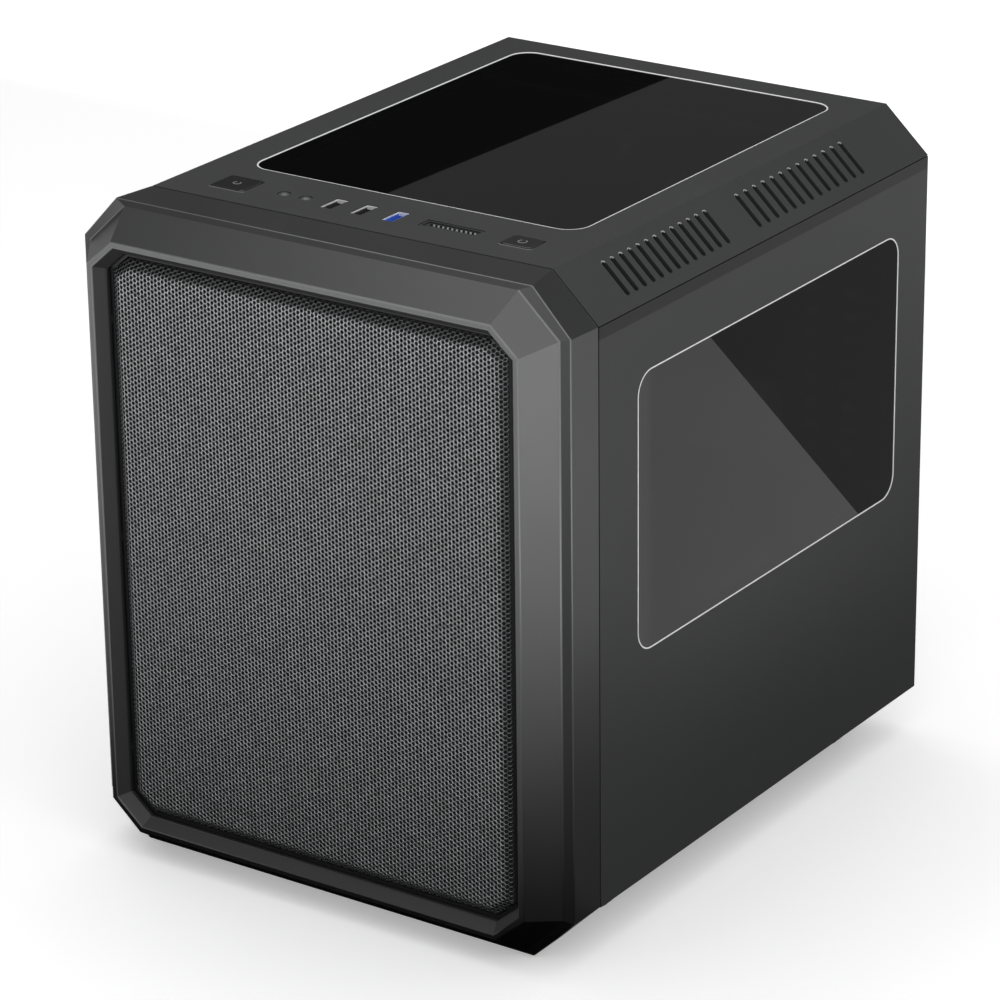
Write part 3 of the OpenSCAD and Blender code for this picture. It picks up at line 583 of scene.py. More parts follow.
FINISHES = {
    "cover_plastic": MouldedPlastic(tone=0.03, roughness=0.42),
    "panel_steel": SatinPaint(tone=0.024),
    "frame_steel": SatinPaint(tone=0.035, roughness=0.46),
    "mesh_steel": MeshPaint(),
    "smoked_acrylic": SmokedAcrylic(),
    "zinc": PlatedMetal(),
    "black_screw": PlatedMetal(colour=(0.07, 0.07, 0.075, 1.0), roughness=0.34),
    "brass": PlatedMetal(colour=(0.78, 0.58, 0.26, 1.0), roughness=0.26),
    "board_green": CircuitBoard(),
    "key_gloss": Gloss(colour=(0.01, 0.01, 0.011, 1.0), roughness=0.22, coat=0.15),
    "black_nylon": MouldedPlastic(tone=0.022, roughness=0.5, grain=1800.0),
    "lamp_lens": Gloss(colour=(0.05, 0.053, 0.056, 1.0), roughness=0.3, coat=0.1),
    "port_metal": PortShell(),
    # Painted shade: the white tongues are coloured near black, as they sit in the ports' shade.
    "port_white": Gloss(colour=(0.03, 0.03, 0.032, 1.0), roughness=0.3, coat=0.0),
    "port_blue": Gloss(colour=(0.08, 0.2, 0.85, 1.0), roughness=0.35, coat=0.0),
    "fan_plastic": MouldedPlastic(tone=0.024, roughness=0.4, grain=1500.0),
    "filter_net": WovenNet(),
    "foot_plastic": MouldedPlastic(tone=0.03, roughness=0.5),
    "rubber": Rubber(),
}


class Wardrobe:
    """Makes each finish's material once and puts it on nodes and pieces."""

    def __init__(self) -> None:
        """Starts with no materials made."""
        self.made: dict = {}
        self.slot_of = {
            row["node"]: row["material_slot"] for row in frame["record"]["subparts"]
        }

    def material(self, slot: str, finish: Any = None) -> bpy.types.Material:
        """The material of a slot, or of a finish of its own under that name.

        Args:
            slot: the material's name.
            finish: the finish, where it isn't the slot's.

        Returns:
            The material, made on its first use.
        """
        if slot not in self.made:
            made = bpy.data.materials.new(slot)
            made.use_nodes = True
            graph = Graph(made.node_tree)
            graph.finish((finish or FINISHES[slot]).dress(graph))
            self.made[slot] = made
        return self.made[slot]

    def dress(self, thing: bpy.types.Object, material: bpy.types.Material) -> None:
        """Gives an object one material."""
        thing.data.materials.clear()
        thing.data.materials.append(material)

    def dress_nodes(self) -> None:
        """Dresses each CAD node in its slot's finish."""
        for name, thing in frame["nodes"].items():
            self.dress(thing, self.material(self.slot_of[name]))
        # The blue port's shell: painted shade inside, tinted blue.
        blue = PortShell(inside=(0.06, 0.14, 0.5, 1.0))
        self.dress(frame["nodes"]["usb3_shell"], self.material("blue_port_metal", blue))
        LOG.info("dressed %d nodes", len(frame["nodes"]))


# ---------------------------------------------------------------- mesh helpers

ROUND_FROM = 24.0
CRISP_FROM = 12.0


@dataclass
class Workshop:
    """Turns arrays into pieces that ride on the frame."""

    wardrobe: Wardrobe
    count: int = 0

    def piece(
        self,
        name: str,
        body: Body,
        slot: str,
        points: np.ndarray,
        faces: Sequence,
        smooth: bool = True,
        replaces: Sequence[str] = (),
        material: Optional[bpy.types.Material] = None,
        normals: Optional[np.ndarray] = None,
        crest_shading: Optional[np.ndarray] = None,
    ) -> bpy.types.Object:
        """Makes a piece from points in millimetres and faces.

        Args:
            name: the piece's name.
            body: the CAD body that it rides on.
            slot: the record's material slot.
            points: one row for each vertex, in the case's measures.
            faces: rows of vertex numbers.
            smooth: shade the faces smoothly.
            replaces: the CAD nodes that it stands for.
            material: a finish of its own, else the slot's.
            normals: one normal for each vertex, where the shape's own are known.
            crest_shading: one number for each vertex, painted light and shade for a finish that
                follows the shape.

        Returns:
            The object, at the origin, with its place in its mesh.
        """
        mesh = bpy.data.meshes.new(name)
        rows = faces.tolist() if isinstance(faces, np.ndarray) else faces
        mesh.from_pydata(to_row(points).tolist(), [], rows)
        mesh.polygons.foreach_set("use_smooth", [smooth] * len(mesh.polygons))
        # Painted light and shade, kept on the vertices for the mesh's finish.
        if crest_shading is not None:
            mesh.attributes.new("crest_shading", "FLOAT", "POINT").data.foreach_set("value", crest_shading)
        if normals is not None:
            mesh.normals_split_custom_set_from_vertices(normals.tolist())
        made = bpy.data.objects.new(name, mesh)
        bpy.context.scene.collection.objects.link(made)
        return self.enrol(made, body.value, slot, replaces, material)

    def enrol(
        self,
        made: bpy.types.Object,
        body: str,
        slot: str,
        replaces: Sequence[str] = (),
        material: Optional[bpy.types.Material] = None,
    ) -> bpy.types.Object:
        """Dresses a piece and says what it rides on and stands for.

        Args:
            made: the piece's object.
            body: the name of the CAD body that it rides on.
            slot: the record's material slot.
            replaces: the CAD nodes that it stands for.
            material: a finish of its own, else the slot's.

        Returns:
            The same object.
        """
        self.wardrobe.dress(made, material or self.wardrobe.material(slot))
        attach(made, body)
        if replaces:
            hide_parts(*replaces)
        self.count += 1
        LOG.info("%s: %d faces on %s", made.name, len(made.data.polygons), body)
        return made

    def softened(
        self, node: str, name: str, body: Body, width: float,
        material: Optional[bpy.types.Material] = None, rings: bool = False,
    ) -> bpy.types.Object:
        """A copy of a CAD node with its sharp edges rounded.

        The node's loose triangles are merged and flat neighbours are joined. Every edge that
        turns by more than ROUND_FROM degrees gets a round. With rings, only edges square to the
        case's length do, and the others over CRISP_FROM degrees stay crisp.

        Args:
            node: the CAD node that the piece stands for.
            name: the piece's name.
            body: the body it rides on.
            width: the round's width in millimetres.
            material: a finish of its own, else the slot's.
            rings: the way the bezel is rounded.

        Returns:
            The piece.
        """
        mesh = frame["nodes"][node].data.copy()
        mesh.name = name
        work = bmesh.new()
        work.from_mesh(mesh)
        bmesh.ops.remove_doubles(work, verts=work.verts, dist=2e-6)
        bmesh.ops.dissolve_limit(
            work, angle_limit=math.radians(0.6), verts=work.verts, edges=work.edges
        )
        weight = work.edges.layers.float.new("bevel_weight_edge")
        for edge in work.edges:
            turn = math.degrees(edge.calc_face_angle(0.0))
            square = abs(edge.verts[0].co.y - edge.verts[1].co.y) < 1e-5
            edge[weight] = float(turn > ROUND_FROM and (square or not rings))
            edge.smooth = turn < CRISP_FROM or edge[weight] > 0.5
        work.to_mesh(mesh)
        work.free()
        if "custom_normal" in mesh.attributes:
            mesh.attributes.remove(mesh.attributes["custom_normal"])
        mesh.polygons.foreach_set("use_smooth", [rings] * len(mesh.polygons))
        made = bpy.data.objects.new(name, mesh)
        bpy.context.scene.collection.objects.link(made)
        bevel = made.modifiers.new("rounds", "BEVEL")
        bevel.width = width * MM
        bevel.segments = 2
        bevel.limit_method = "WEIGHT"
        bevel.harden_normals = rings
        bevel.use_clamp_overlap = not rings
        bevel.miter_outer = "MITER_ARC"
        return self.enrol(made, body.value, self.wardrobe.slot_of[node], [node], material)


def ring_faces(rings: int, size: int, closed: bool) -> np.ndarray:
    """Quads between neighbouring rings of vertices.

    Args:
        rings: how many rings there are.
        size: how many vertices each has.
        closed: join the last ring to the first.

    Returns:
        One row of four vertex numbers for each quad.
    """
    i, j = np.meshgrid(
        np.arange(rings if closed else rings - 1), np.arange(size), indexing="ij"
    )
    after, beside = (i + 1) % rings, (j + 1) % size
    quads = np.stack(
        [i * size + j, after * size + j, after * size + beside, i * size + beside], -1
    )
    return quads.reshape(-1, 4)


def rounded_outline(
    width: float, height: float, radius: float, steps: int = 8
) -> Tuple[np.ndarray, np.ndarray]:
    """A rectangle with round corners, counter-clockwise.

    Corner k is a quarter circle about its centre from 90 k to 90 k + 90 degrees.

    Args:
        width: its whole width.
        height: its whole height.
        radius: the corners' radius.
        steps: how many strokes make a corner.

    Returns:
        The points and the outward normals, one row for each.
    """
    turns = np.linspace(0, np.pi / 2, steps + 1)
    angles = (np.arange(4)[:, None] * np.pi / 2 + turns).ravel()
    signs = np.array([[1, 1], [-1, 1], [-1, -1], [1, -1]], float)
    centres = np.repeat(
        signs * [width / 2 - radius, height / 2 - radius], steps + 1, axis=0
    )
    normals = np.stack([np.cos(angles), np.sin(angles)], -1)
    return centres + radius * normals, normals


def swept(
    path: np.ndarray, across: np.ndarray, up: np.ndarray, profile: np.ndarray
) -> np.ndarray:
    """Carries a profile along a path: point + a * across + b * up for each (a, b).

    Args:
        path: the path's points.
        across: the direction of a at each point.
        up: the direction of b at each point.
        profile: rows of a and b.

    Returns:
        The points, one ring of the profile after the other.
    """
    rows = path[:, None, :] + profile[None, :, :1] * across[:, None, :]
    return (rows + profile[None, :, 1:] * up[:, None, :]).reshape(-1, 3)


def arc_profile(half: float, height: float) -> np.ndarray:
    """A low mound with a flat underside: (half * cos w, height * sin w), w from 0 to 180 degrees.

    Args:
        half: its reach to each side.
        height: its height.

    Returns:
        The profile's points.
    """
    turns = np.linspace(0, np.pi, 6)
    mound = np.stack([half * np.cos(turns), height * np.sin(turns)], -1)
    return np.concatenate([mound, [[-half, -0.3], [half, -0.3]]])


def capped_faces(rings: int, size: int) -> list:
    """Quads between neighbouring open rings, with a face over the first and the last ring."""
    ends = [list(range(size))[::-1], list(range((rings - 1) * size, rings * size))]
    return ring_faces(rings, size, False).tolist() + ends


# ---------------------------------------------------------------- the case


@dataclass
class Octagon:
    """One eight-sided section of the bezel: half width, flats and heights, as in the source."""

    half: float = 114.9
    top_flat: float = 101.0
    side_top: float = 267.0
    top: float = 279.4
    bottom_flat: float = 99.6
    side_bottom: float = 5.4
    bottom: float = -8.2

    def corners(self, inset: float = 0.0) -> np.ndarray:
        """The eight corners, counter-clockwise.

        Args:
            inset: how far every side is drawn in.

        Returns:
            Rows of x and z.
        """
        m = inset * MITRE
        half, flat, low_flat = self.half - inset, self.top_flat - m, self.bottom_flat - m
        side_top, top = self.side_top - m, self.top - inset
        side_bottom, bottom = self.side_bottom + m, self.bottom + inset
        return np.array([
            [half, side_bottom], [half, side_top], [flat, top], [-flat, top],
            [-half, side_top], [-half, side_bottom], [-low_flat, bottom], [low_flat, bottom],
        ])


@dataclass
class FrontMesh:
    """The pressed front mesh: a flat face and sloping flanks, punched with fine holes."""

    shop: Workshop
    lip: Octagon = field(default_factory=Octagon)
    pitch: float = 2.25
    hole: float = 0.68
    thickness: float = 0.7
    face_y: float = -34.4
    face_in: float = 13.1
    flank_out: float = 5.0
    flank_back: float = 4.0
    fold_radius: float = 1.1
    rim_section: Tuple[Tuple[float, float], ...] = (
        (9.2, -31.1), (8.1, -30.3), (-2.2, -30.45), (-2.2, -29.75), (9.0, -29.75)
    )
    skirt_section: Tuple[Tuple[float, float], ...] = (
        (13.6, -33.3), (8.9, -30.1), (8.9, -29.4), (13.6, -32.3)
    )

    @property
    def flank(self) -> float:
        """Length of the flank measured along the sheet."""
        return math.hypot(self.flank_out, self.flank_back)

    def outside(self, points: np.ndarray) -> Tuple[np.ndarray, np.ndarray]:
        """How far points lie outside the flat face, and that side's outward normal.

        The distance is the largest of the eight signed distances to the face's sides, so
        equal distances are octagons with mitred corners.

        Args:
            points: rows of x and z.

        Returns:
            The distances and the normals.
        """
        corners = self.lip.corners(self.face_in)
        edges = np.roll(corners, -1, axis=0) - corners
        normals = np.stack([edges[:, 1], -edges[:, 0]], -1)
        normals /= np.linalg.norm(normals, axis=1)[:, None]
        signed = points @ normals.T - np.sum(normals * corners, axis=1)
        side = np.argmax(signed, axis=1)
        return signed[np.arange(len(points)), side], normals[side]

    def fold(
        self, points: np.ndarray, depth: np.ndarray, tilt: np.ndarray
    ) -> Tuple[np.ndarray, np.ndarray]:
        """Bends the flat punched sheet over the face's edge.

        With d the distance outside the face, s = (d + sqrt(d*d + r*r)) / 2 is d with a soft
        start. A point goes back by s times the flank's sine and is pulled in by s times one
        less its cosine. The sheet's turn is the flank's angle times ds/dd.

        Args:
            points: places on the flat sheet, x and z.
            depth: how far behind the sheet's face each point lies.
            tilt: local normals (x, back, z) on the flat sheet.

        Returns:
            The bent points and their normals.
        """
        distance, side = self.outside(points)
        root = np.sqrt(distance**2 + self.fold_radius**2)
        run, rate = (distance + root) / 2, (1 + distance / root) / 2
        sine, cosine = self.flank_back / self.flank, self.flank_out / self.flank
        bent = points - side * (run * (1 - cosine))[:, None]
        turn = math.atan2(self.flank_back, self.flank_out) * rate
        out = np.stack([side[:, 0], np.zeros(len(side)), side[:, 1]], -1)
        back = np.zeros((len(side), 3))
        back[:, 1] = 1
        sin_t, cos_t = np.sin(turn)[:, None], np.cos(turn)[:, None]
        turned_out, turned_back = out * cos_t + back * sin_t, back * cos_t - out * sin_t
        place = np.stack([bent[:, 0], self.face_y + run * sine, bent[:, 1]], -1)
        place += turned_back * depth[:, None]
        along = np.sum(tilt * out, axis=1)[:, None]
        level = tilt - along * out - tilt[:, 1:2] * back
        return place, along * turned_out + tilt[:, 1:2] * turned_back + level

    def cells(self) -> np.ndarray:
        """Centres of the holes, in columns 0.866 of a pitch apart.

        Every second column is shifted by half a pitch.
        """
        step = self.pitch * math.sqrt(3) / 2
        i, j = np.meshgrid(np.arange(-60, 61), np.arange(-4, 126), indexing="ij")
        x = i * step
        z = (j + (i % 2) / 2) * self.pitch
        centres = np.stack([x.ravel(), z.ravel()], -1)
        distance, _ = self.outside(centres)
        return centres[distance < self.flank - 0.5 * self.pitch]

    def punched(
        self, centres: np.ndarray
    ) -> Tuple[np.ndarray, np.ndarray, np.ndarray, np.ndarray]:
        """The sheet round the given holes.

        Each hole's cell is a hexagon. From its rim at the front the strand dips round to the
        hole's edge at half depth, and on to the rim at the back. Rims that cells share are
        merged, and a rim that only one cell has gets a wall from front to back.

        Args:
            centres: the holes' centres, rows of x and z.

        Returns:
            Points, normals, quads, and the painted light and shade: 1 on the face's front rims,
            less on the flanks' and 0 elsewhere.
        """
        turns = np.arange(6) * np.pi / 3
        corner = np.stack([np.cos(turns), np.sin(turns)], -1)
        rim_at = (centres[:, None, :] + corner * self.pitch / math.sqrt(3)).reshape(-1, 2)
        keys = np.round(rim_at * 50).astype(np.int64)
        _, first, rim = np.unique(keys, axis=0, return_index=True, return_inverse=True)
        rim = rim.reshape(-1, 6)
        rim_points = rim_at[first]
        hole_points = (centres[:, None, :] + corner * self.hole).reshape(-1, 2)
        n, m = len(rim_points), len(hole_points)
        flat = np.concatenate([rim_points, hole_points, rim_points])
        depth = np.concatenate([
            np.zeros(n), np.full(m, self.thickness / 2), np.full(n, self.thickness)
        ])
        inward = -np.tile(corner, (len(centres), 1))
        tilt = np.zeros((2 * n + m, 3))
        tilt[:n, 1], tilt[n + m:, 1] = -1, 1
        tilt[n:n + m, 0], tilt[n:n + m, 2] = inward[:, 0], inward[:, 1]
        points, normals = self.fold(flat, depth, tilt)
        hole = n + np.arange(m).reshape(-1, 6)
        ahead, rim_ahead = np.roll(hole, -1, axis=1), np.roll(rim, -1, axis=1)
        back = n + m
        front = np.stack([rim, rim_ahead, ahead, hole], -1).reshape(-1, 4)
        rear = np.stack([rim + back, hole, ahead, rim_ahead + back], -1).reshape(-1, 4)
        pairs = np.stack([rim, rim_ahead], -1).reshape(-1, 2)
        _, inverse, count = np.unique(
            np.sort(pairs, axis=1), axis=0, return_inverse=True, return_counts=True
        )
        alone = pairs[count[inverse.ravel()] == 1]
        wall = np.stack(
            [alone[:, 0], alone[:, 0] + back, alone[:, 1] + back, alone[:, 1]], -1
        )
        # Painted highlight on the front rims, painted shade on the flanks' rims, round the holes
        # and at the back.
        crest_shading = np.zeros(2 * n + m)
        crest_shading[:n] = 1 - 0.65 * np.clip(self.outside(rim_points)[0] / 1.2, 0, 1)
        return points, normals, np.concatenate([front, rear, wall]), crest_shading

    def build(self) -> None:
        """Makes the sheet as an upper and a lower half, and the plain rim that carries it."""
        centres = self.cells()
        order = np.argsort(centres[:, 1], kind="stable")
        halves = {
            "mesh_lower": centres[order[: len(order) // 2]],
            "mesh_upper": centres[order[len(order) // 2:]],
        }
        for name, part in halves.items():
            points, normals, quads, crest_shading = self.punched(part)
            self.shop.piece(
                name, Body.BEZEL, "mesh_steel", points, quads,
                replaces=["front_mesh"], normals=normals, crest_shading=crest_shading,
            )
        self.shop.piece(
            "mesh_rim", Body.BEZEL, "mesh_steel", self.band(self.rim_section),
            ring_faces(len(self.rim_section), 8, True)[:, ::-1], smooth=False,
            replaces=["front_mesh"],
            material=self.shop.wardrobe.material("rim_paint", SatinPaint(tone=0.006)),
        )
        self.shop.piece(
            "net_skirt", Body.BEZEL, "filter_net", self.band(self.skirt_section),
            ring_faces(len(self.skirt_section), 8, True), smooth=False,
        )

    def band(self, section: Sequence[Tuple[float, float]]) -> np.ndarray:
        """Points of an eight-sided band whose section has rows of inset and y."""
        return np.concatenate([
            np.stack([ring[:, 0], np.full(8, y), ring[:, 1]], -1)
            for ring, y in ((self.lip.corners(inset), y) for inset, y in section)
        ])


@dataclass
class Shell:
    """The outer mouldings, with their edges rounded as the real ones are."""

    shop: Workshop

    def build(self) -> None:
        """Rounds the bezel, the cover, the buttons and the card reader."""
        made = self.shop.softened(
            "front_bezel", "bezel_moulding", Body.BEZEL, 0.45,
            material=self.shop.wardrobe.material("bezel_plastic", ThroatPlastic()),
            rings=True,
        )
        # Painted highlight: the rounds along the bezel's rings get a paler plastic.
        made.data.materials.append(self.shop.wardrobe.material(
            "bezel_edge_highlight",
            ThroatPlastic(MouldedPlastic(tone=0.12, roughness=0.3, gleam=0.8), pale=0.14),
        ))
        made.modifiers["rounds"].material = 1
        for node, name, body, width in (
            ("top_cover", "cover_moulding", Body.CHASSIS, 0.35),
            ("power_button", "power_cap", Body.POWER_KEY, 0.3),
            ("reset_button", "reset_cap", Body.RESET_KEY, 0.3),
            ("card_reader", "card_reader_body", Body.CHASSIS, 0.12),
        ):
            self.shop.softened(node, name, body, width)


@dataclass
class WindowEdges:
    """Pale mounds round the two smoked windows, as a painted highlight along their edges.

    Each window has its outline's width, height and corner radius, and its middle.
    """

    shop: Workshop
    top_outline: Tuple[float, float, float] = (177.4, 221.4, 10.7)
    top_middle: Tuple[float, float, float] = (0.0, 157.0, TOP_Z - 0.42)
    top_mound: Tuple[float, float] = (0.5, 0.34)
    side_outline: Tuple[float, float, float] = (225.6, 130.6, 10.6)
    side_middle: Tuple[float, float, float] = (129.96, 143.8, 176.0)
    side_mound: Tuple[float, float] = (0.35, 0.14)

    def build(self) -> None:
        """Carries a low mound round each window's outline."""
        # Painted highlight: a pale glossy mound stands for the light on the windows' edges.
        edge_highlight = self.shop.wardrobe.material(
            "window_edge_highlight", Gloss(colour=(0.7, 0.7, 0.71, 1.0), roughness=0.16)
        )
        for name, body, outline, middle, mound, axes in (
            ("top_window_edge", Body.CHASSIS, self.top_outline, self.top_middle,
             self.top_mound, np.eye(3)),
            ("side_window_edge", Body.RIGHT_SIDE, self.side_outline, self.side_middle,
             self.side_mound, np.roll(np.eye(3), 1, axis=1)),
        ):
            path, normals = rounded_outline(*outline)
            line = path @ axes[:2] + np.array(middle)
            up = np.tile(axes[2], (len(path), 1))
            profile = arc_profile(*mound)
            self.shop.piece(
                name, body, "smoked_acrylic", swept(line, normals @ axes[:2], up, profile),
                ring_faces(len(path), len(profile), True), material=edge_highlight,
            )


@dataclass
class KeyMarks:
    """The small printed rings on the two buttons, and pale rims round them as a painted highlight.
    """

    shop: Workshop
    top: float = TOP_Z + 0.5
    power_x: float = -76.6
    power_size: Tuple[float, float] = (18.0, 16.6)
    reset_x: float = 76.8
    reset_size: Tuple[float, float] = (15.6, 12.4)
    rim_gap: float = 0.6
    rim_radius: float = 1.5
    strokes: int = 28

    def ring(self, name: str, body: Body, x: float, radius: float, opening: float) -> None:
        """A raised ring with an opening, as a mound carried along an arc.

        Args:
            name: the piece's name.
            body: the button's body.
            x: the button's middle.
            radius: the ring's radius.
            opening: the opening's angle in degrees, towards the rear.
        """
        gap = math.radians(opening)
        turns = math.pi / 2 + gap / 2 + np.linspace(0, 2 * math.pi - gap, self.strokes)
        out = np.stack([np.cos(turns), np.sin(turns), np.zeros(self.strokes)], -1)
        path = np.array([x, ROW_Y, self.top]) + out * radius
        profile = arc_profile(0.32, 0.08)
        self.shop.piece(
            name, body, "key_gloss",
            swept(path, out, np.tile(UP, (self.strokes, 1)), profile),
            capped_faces(self.strokes, len(profile)),
            material=self.shop.wardrobe.material(
                "key_ink", Gloss(colour=(0.16, 0.16, 0.165, 1.0), roughness=0.35, coat=0.0)
            ),
        )

    def rim(self, name: str, x: float, width: float, depth: float) -> None:
        """A thin pale edge round the front and right of a button's opening, as a painted highlight.

        It is a low mound carried along part of a rounded rectangle, from its front left
        corner to its rear right one.

        Args:
            name: the piece's name.
            x: the button's middle.
            width: the button's width.
            depth: the button's depth.
        """
        path, normals = rounded_outline(
            width + 2 * self.rim_gap, depth + 2 * self.rim_gap, self.rim_radius
        )
        in_front = path[:, 1] < -depth / 2
        at_right = (path[:, 0] > width / 2) & (path[:, 1] < depth / 4)
        keep = in_front | at_right
        start = np.argmax(np.roll(keep, 1) < keep)
        path, normals = (np.roll(row, -start, axis=0)[: keep.sum()] for row in (path, normals))
        count = len(path)
        flat = np.zeros((count, 1))
        line = np.hstack([path, flat]) + [x, ROW_Y, TOP_Z - 0.02]
        profile = arc_profile(0.3, 0.16)
        # Painted highlight on the front and right of the opening.
        self.shop.piece(
            name, Body.CHASSIS, "cover_plastic",
            swept(line, np.hstack([normals, flat]), np.tile(UP, (count, 1)), profile),
            capped_faces(count, len(profile)),
            material=self.shop.wardrobe.material(
                "key_rim_highlight", Gloss(colour=(0.14, 0.14, 0.145, 1.0), roughness=0.3, coat=0.0)
            ),
        )

    def build(self) -> None:
        """Marks both buttons."""
        self.ring("power_ring", Body.POWER_KEY, self.power_x, radius=1.7, opening=70)
        self.ring("reset_ring", Body.RESET_KEY, self.reset_x, radius=1.9, opening=60)
        self.rim("power_rim", self.power_x, *self.power_size)
        self.rim("reset_rim", self.reset_x, *self.reset_size)


@dataclass
class VentEnds:
    """Pale rounded upper ends of the vent slots, a painted highlight where light catches the wall.
    """

    shop: Workshop
    slope: float = math.radians(43.07)
    radius: float = 1.5
    wall: float = 0.4
    deep: float = 1.1
    steps: int = 8
    margin: float = 0.12
    slots: int = 13
    groups: Tuple[Tuple[float, float], ...] = ((31.0, 6.8), (139.5, 7.6))
    end_x: float = 112.66
    end_z: float = 288.71

    def rows(self) -> np.ndarray:
        """Where the slots lie along the case: start + pitch * k in each group."""
        return np.concatenate([
            start + pitch * np.arange(self.slots) for start, pitch in self.groups
        ])

    def crescents(self, side: float) -> Tuple[np.ndarray, list]:
        """Half rings in the upper ends of one side's slots.

        With w from 0 to 180 degrees, a point is centre + r * (cos w * along + sin w * up), where
        along is the case's length and up climbs the slope. The ring's section is a thin wedge
        that is widest at the crown, so r = radius - wall * sin w * q with q 0 or 1.

        Args:
            side: 1 for the right side and -1 for the left one.

        Returns:
            The points and the faces.
        """
        along = np.array([0.0, 1.0, 0.0])
        up = np.array([-side * math.cos(self.slope), 0.0, math.sin(self.slope)])
        out = np.array([side * math.sin(self.slope), 0.0, math.cos(self.slope)])
        turns = np.linspace(self.margin, math.pi - self.margin, self.steps)
        section = np.array([[0.0, -0.05], [1.0, -0.12], [1.0, -self.deep], [0.0, -self.deep]])
        radius = self.radius - self.wall * np.sin(turns)[:, None] * section[None, :, 0]
        flat = (
            radius[..., None] * np.cos(turns)[:, None, None] * along
            + radius[..., None] * np.sin(turns)[:, None, None] * up
        )
        one = flat + section[None, :, 1, None] * out
        rows = self.rows()
        centres = np.stack([
            np.full(len(rows), side * self.end_x), rows, np.full(len(rows), self.end_z)
        ], -1)
        points = (centres[:, None, None, :] + one[None]).reshape(-1, 3)
        band = ring_faces(self.steps, 4, False)
        ends = np.array([[3, 2, 1, 0], [4 * self.steps - 4 + k for k in range(4)]])
        faces = np.concatenate([band, ends])
        if side > 0:
            faces = faces[:, ::-1]
        shift = np.arange(len(rows))[:, None, None] * 4 * self.steps
        return points, (faces[None] + shift).reshape(-1, 4).tolist()

    def build(self) -> None:
        """Puts the ends into both chamfers."""
        # Painted highlight: pale crescents in the slots' upper ends.
        end_highlight = self.shop.wardrobe.material(
            "vent_end_highlight", Gloss(colour=(0.34, 0.34, 0.35, 1.0), roughness=0.3, coat=0.0)
        )
        for side, name in ((-1.0, "vent_ends_left"), (1.0, "vent_ends_right")):
            points, faces = self.crescents(side)
            self.shop.piece(
                name, Body.CHASSIS, "cover_plastic", points, faces, material=end_highlight
            )


@dataclass
class SocketSprings:
    """The sprung contacts inside the ports and the card slots."""

    shop: Workshop
    width: float = 1.1
    sheet: float = 0.14
    length: float = 6.0
    port_root_x: float = 0.46
    port_root_z: float = 290.6
    port_places: Tuple[float, ...] = (-3.5, -1.25, 1.25, 3.5)
    card_x: float = 39.8
    card_root_z: float = 292.8

    def springs(
        self, roots: np.ndarray, out: Sequence[float], beside: Sequence[float]
    ) -> Tuple[np.ndarray, list]:
        """Bent strips that stand on a wall.

        Each strip is a rectangle carried along the curve c(t) = root + f(t) * out - length * t * z,
        with f(t) = 0.08 + 0.36 * sin(pi * min(1, 1.6 * t)), so it bulges near the top and lies
        close to the wall below.

        Args:
            roots: where each strip meets the wall's upper edge.
            out: the wall's outward direction.
            beside: the direction of the strip's width.

        Returns:
            The points and the faces.
        """
        t = np.linspace(0, 1, 7)
        bulge = 0.08 + 0.36 * np.sin(np.pi * np.minimum(1.0, 1.6 * t))
        out, beside = np.array(out, float), np.array(beside, float)
        curve = bulge[:, None] * out - self.length * t[:, None] * np.array(UP)
        half, thick = self.width / 2, self.sheet / 2
        corners = np.array([[-half, -thick], [half, -thick], [half, thick], [-half, thick]])
        one = curve[:, None] + corners[:, :1] * beside + corners[:, 1:] * out
        points = (roots[:, None, None, :] + one[None]).reshape(-1, 3)
        faces = np.array(capped_faces(len(t), 4))
        if np.dot(np.cross(beside, out), UP) > 0:
            faces = faces[:, ::-1]
        shift = np.arange(len(roots))[:, None, None] * len(t) * 4
        return points, (faces[None] + shift).reshape(-1, 4).tolist()

    def row(
        self, name: str, slot: str, roots: np.ndarray, out: Sequence[float],
        beside: Sequence[float], metal: bpy.types.Material,
    ) -> None:
        """One piece with a row of strips."""
        points, faces = self.springs(roots, out, beside)
        self.shop.piece(
            name, Body.CHASSIS, slot, points, faces, smooth=False, material=metal
        )

    def build(self) -> None:
        """Puts contacts into the three ports and both card slots."""
        gilt = self.shop.wardrobe.material(
            "gilt", PlatedMetal(colour=(0.8, 0.7, 0.45, 1.0), roughness=0.35, metal=0.7)
        )
        pale = self.shop.wardrobe.material(
            "tinned", PlatedMetal(colour=(0.62, 0.62, 0.63, 1.0), roughness=0.4, metal=0.4)
        )
        places = np.array(self.port_places)
        for name, slot, x in (
            ("port_springs_a", "port_white", -23.0),
            ("port_springs_b", "port_white", -6.8),
            ("port_springs_c", "port_blue", 10.2),
        ):
            roots = np.stack([
                np.full(len(places), x + self.port_root_x), ROW_Y + places,
                np.full(len(places), self.port_root_z),
            ], -1)
            self.row(name, slot, roots, (-1, 0, 0), (0, 1, 0), gilt)
        for name, y, count, step in (
            ("card_springs_wide", 2.52, 10, 2.4), ("card_springs_small", -1.38, 7, 1.75),
        ):
            along = (np.arange(count) - (count - 1) / 2) * step
            roots = np.stack([
                self.card_x + along, np.full(count, ROW_Y + y), np.full(count, self.card_root_z)
            ], -1)
            self.row(name, "port_metal", roots, (0, -1, 0), (1, 0, 0), pale)


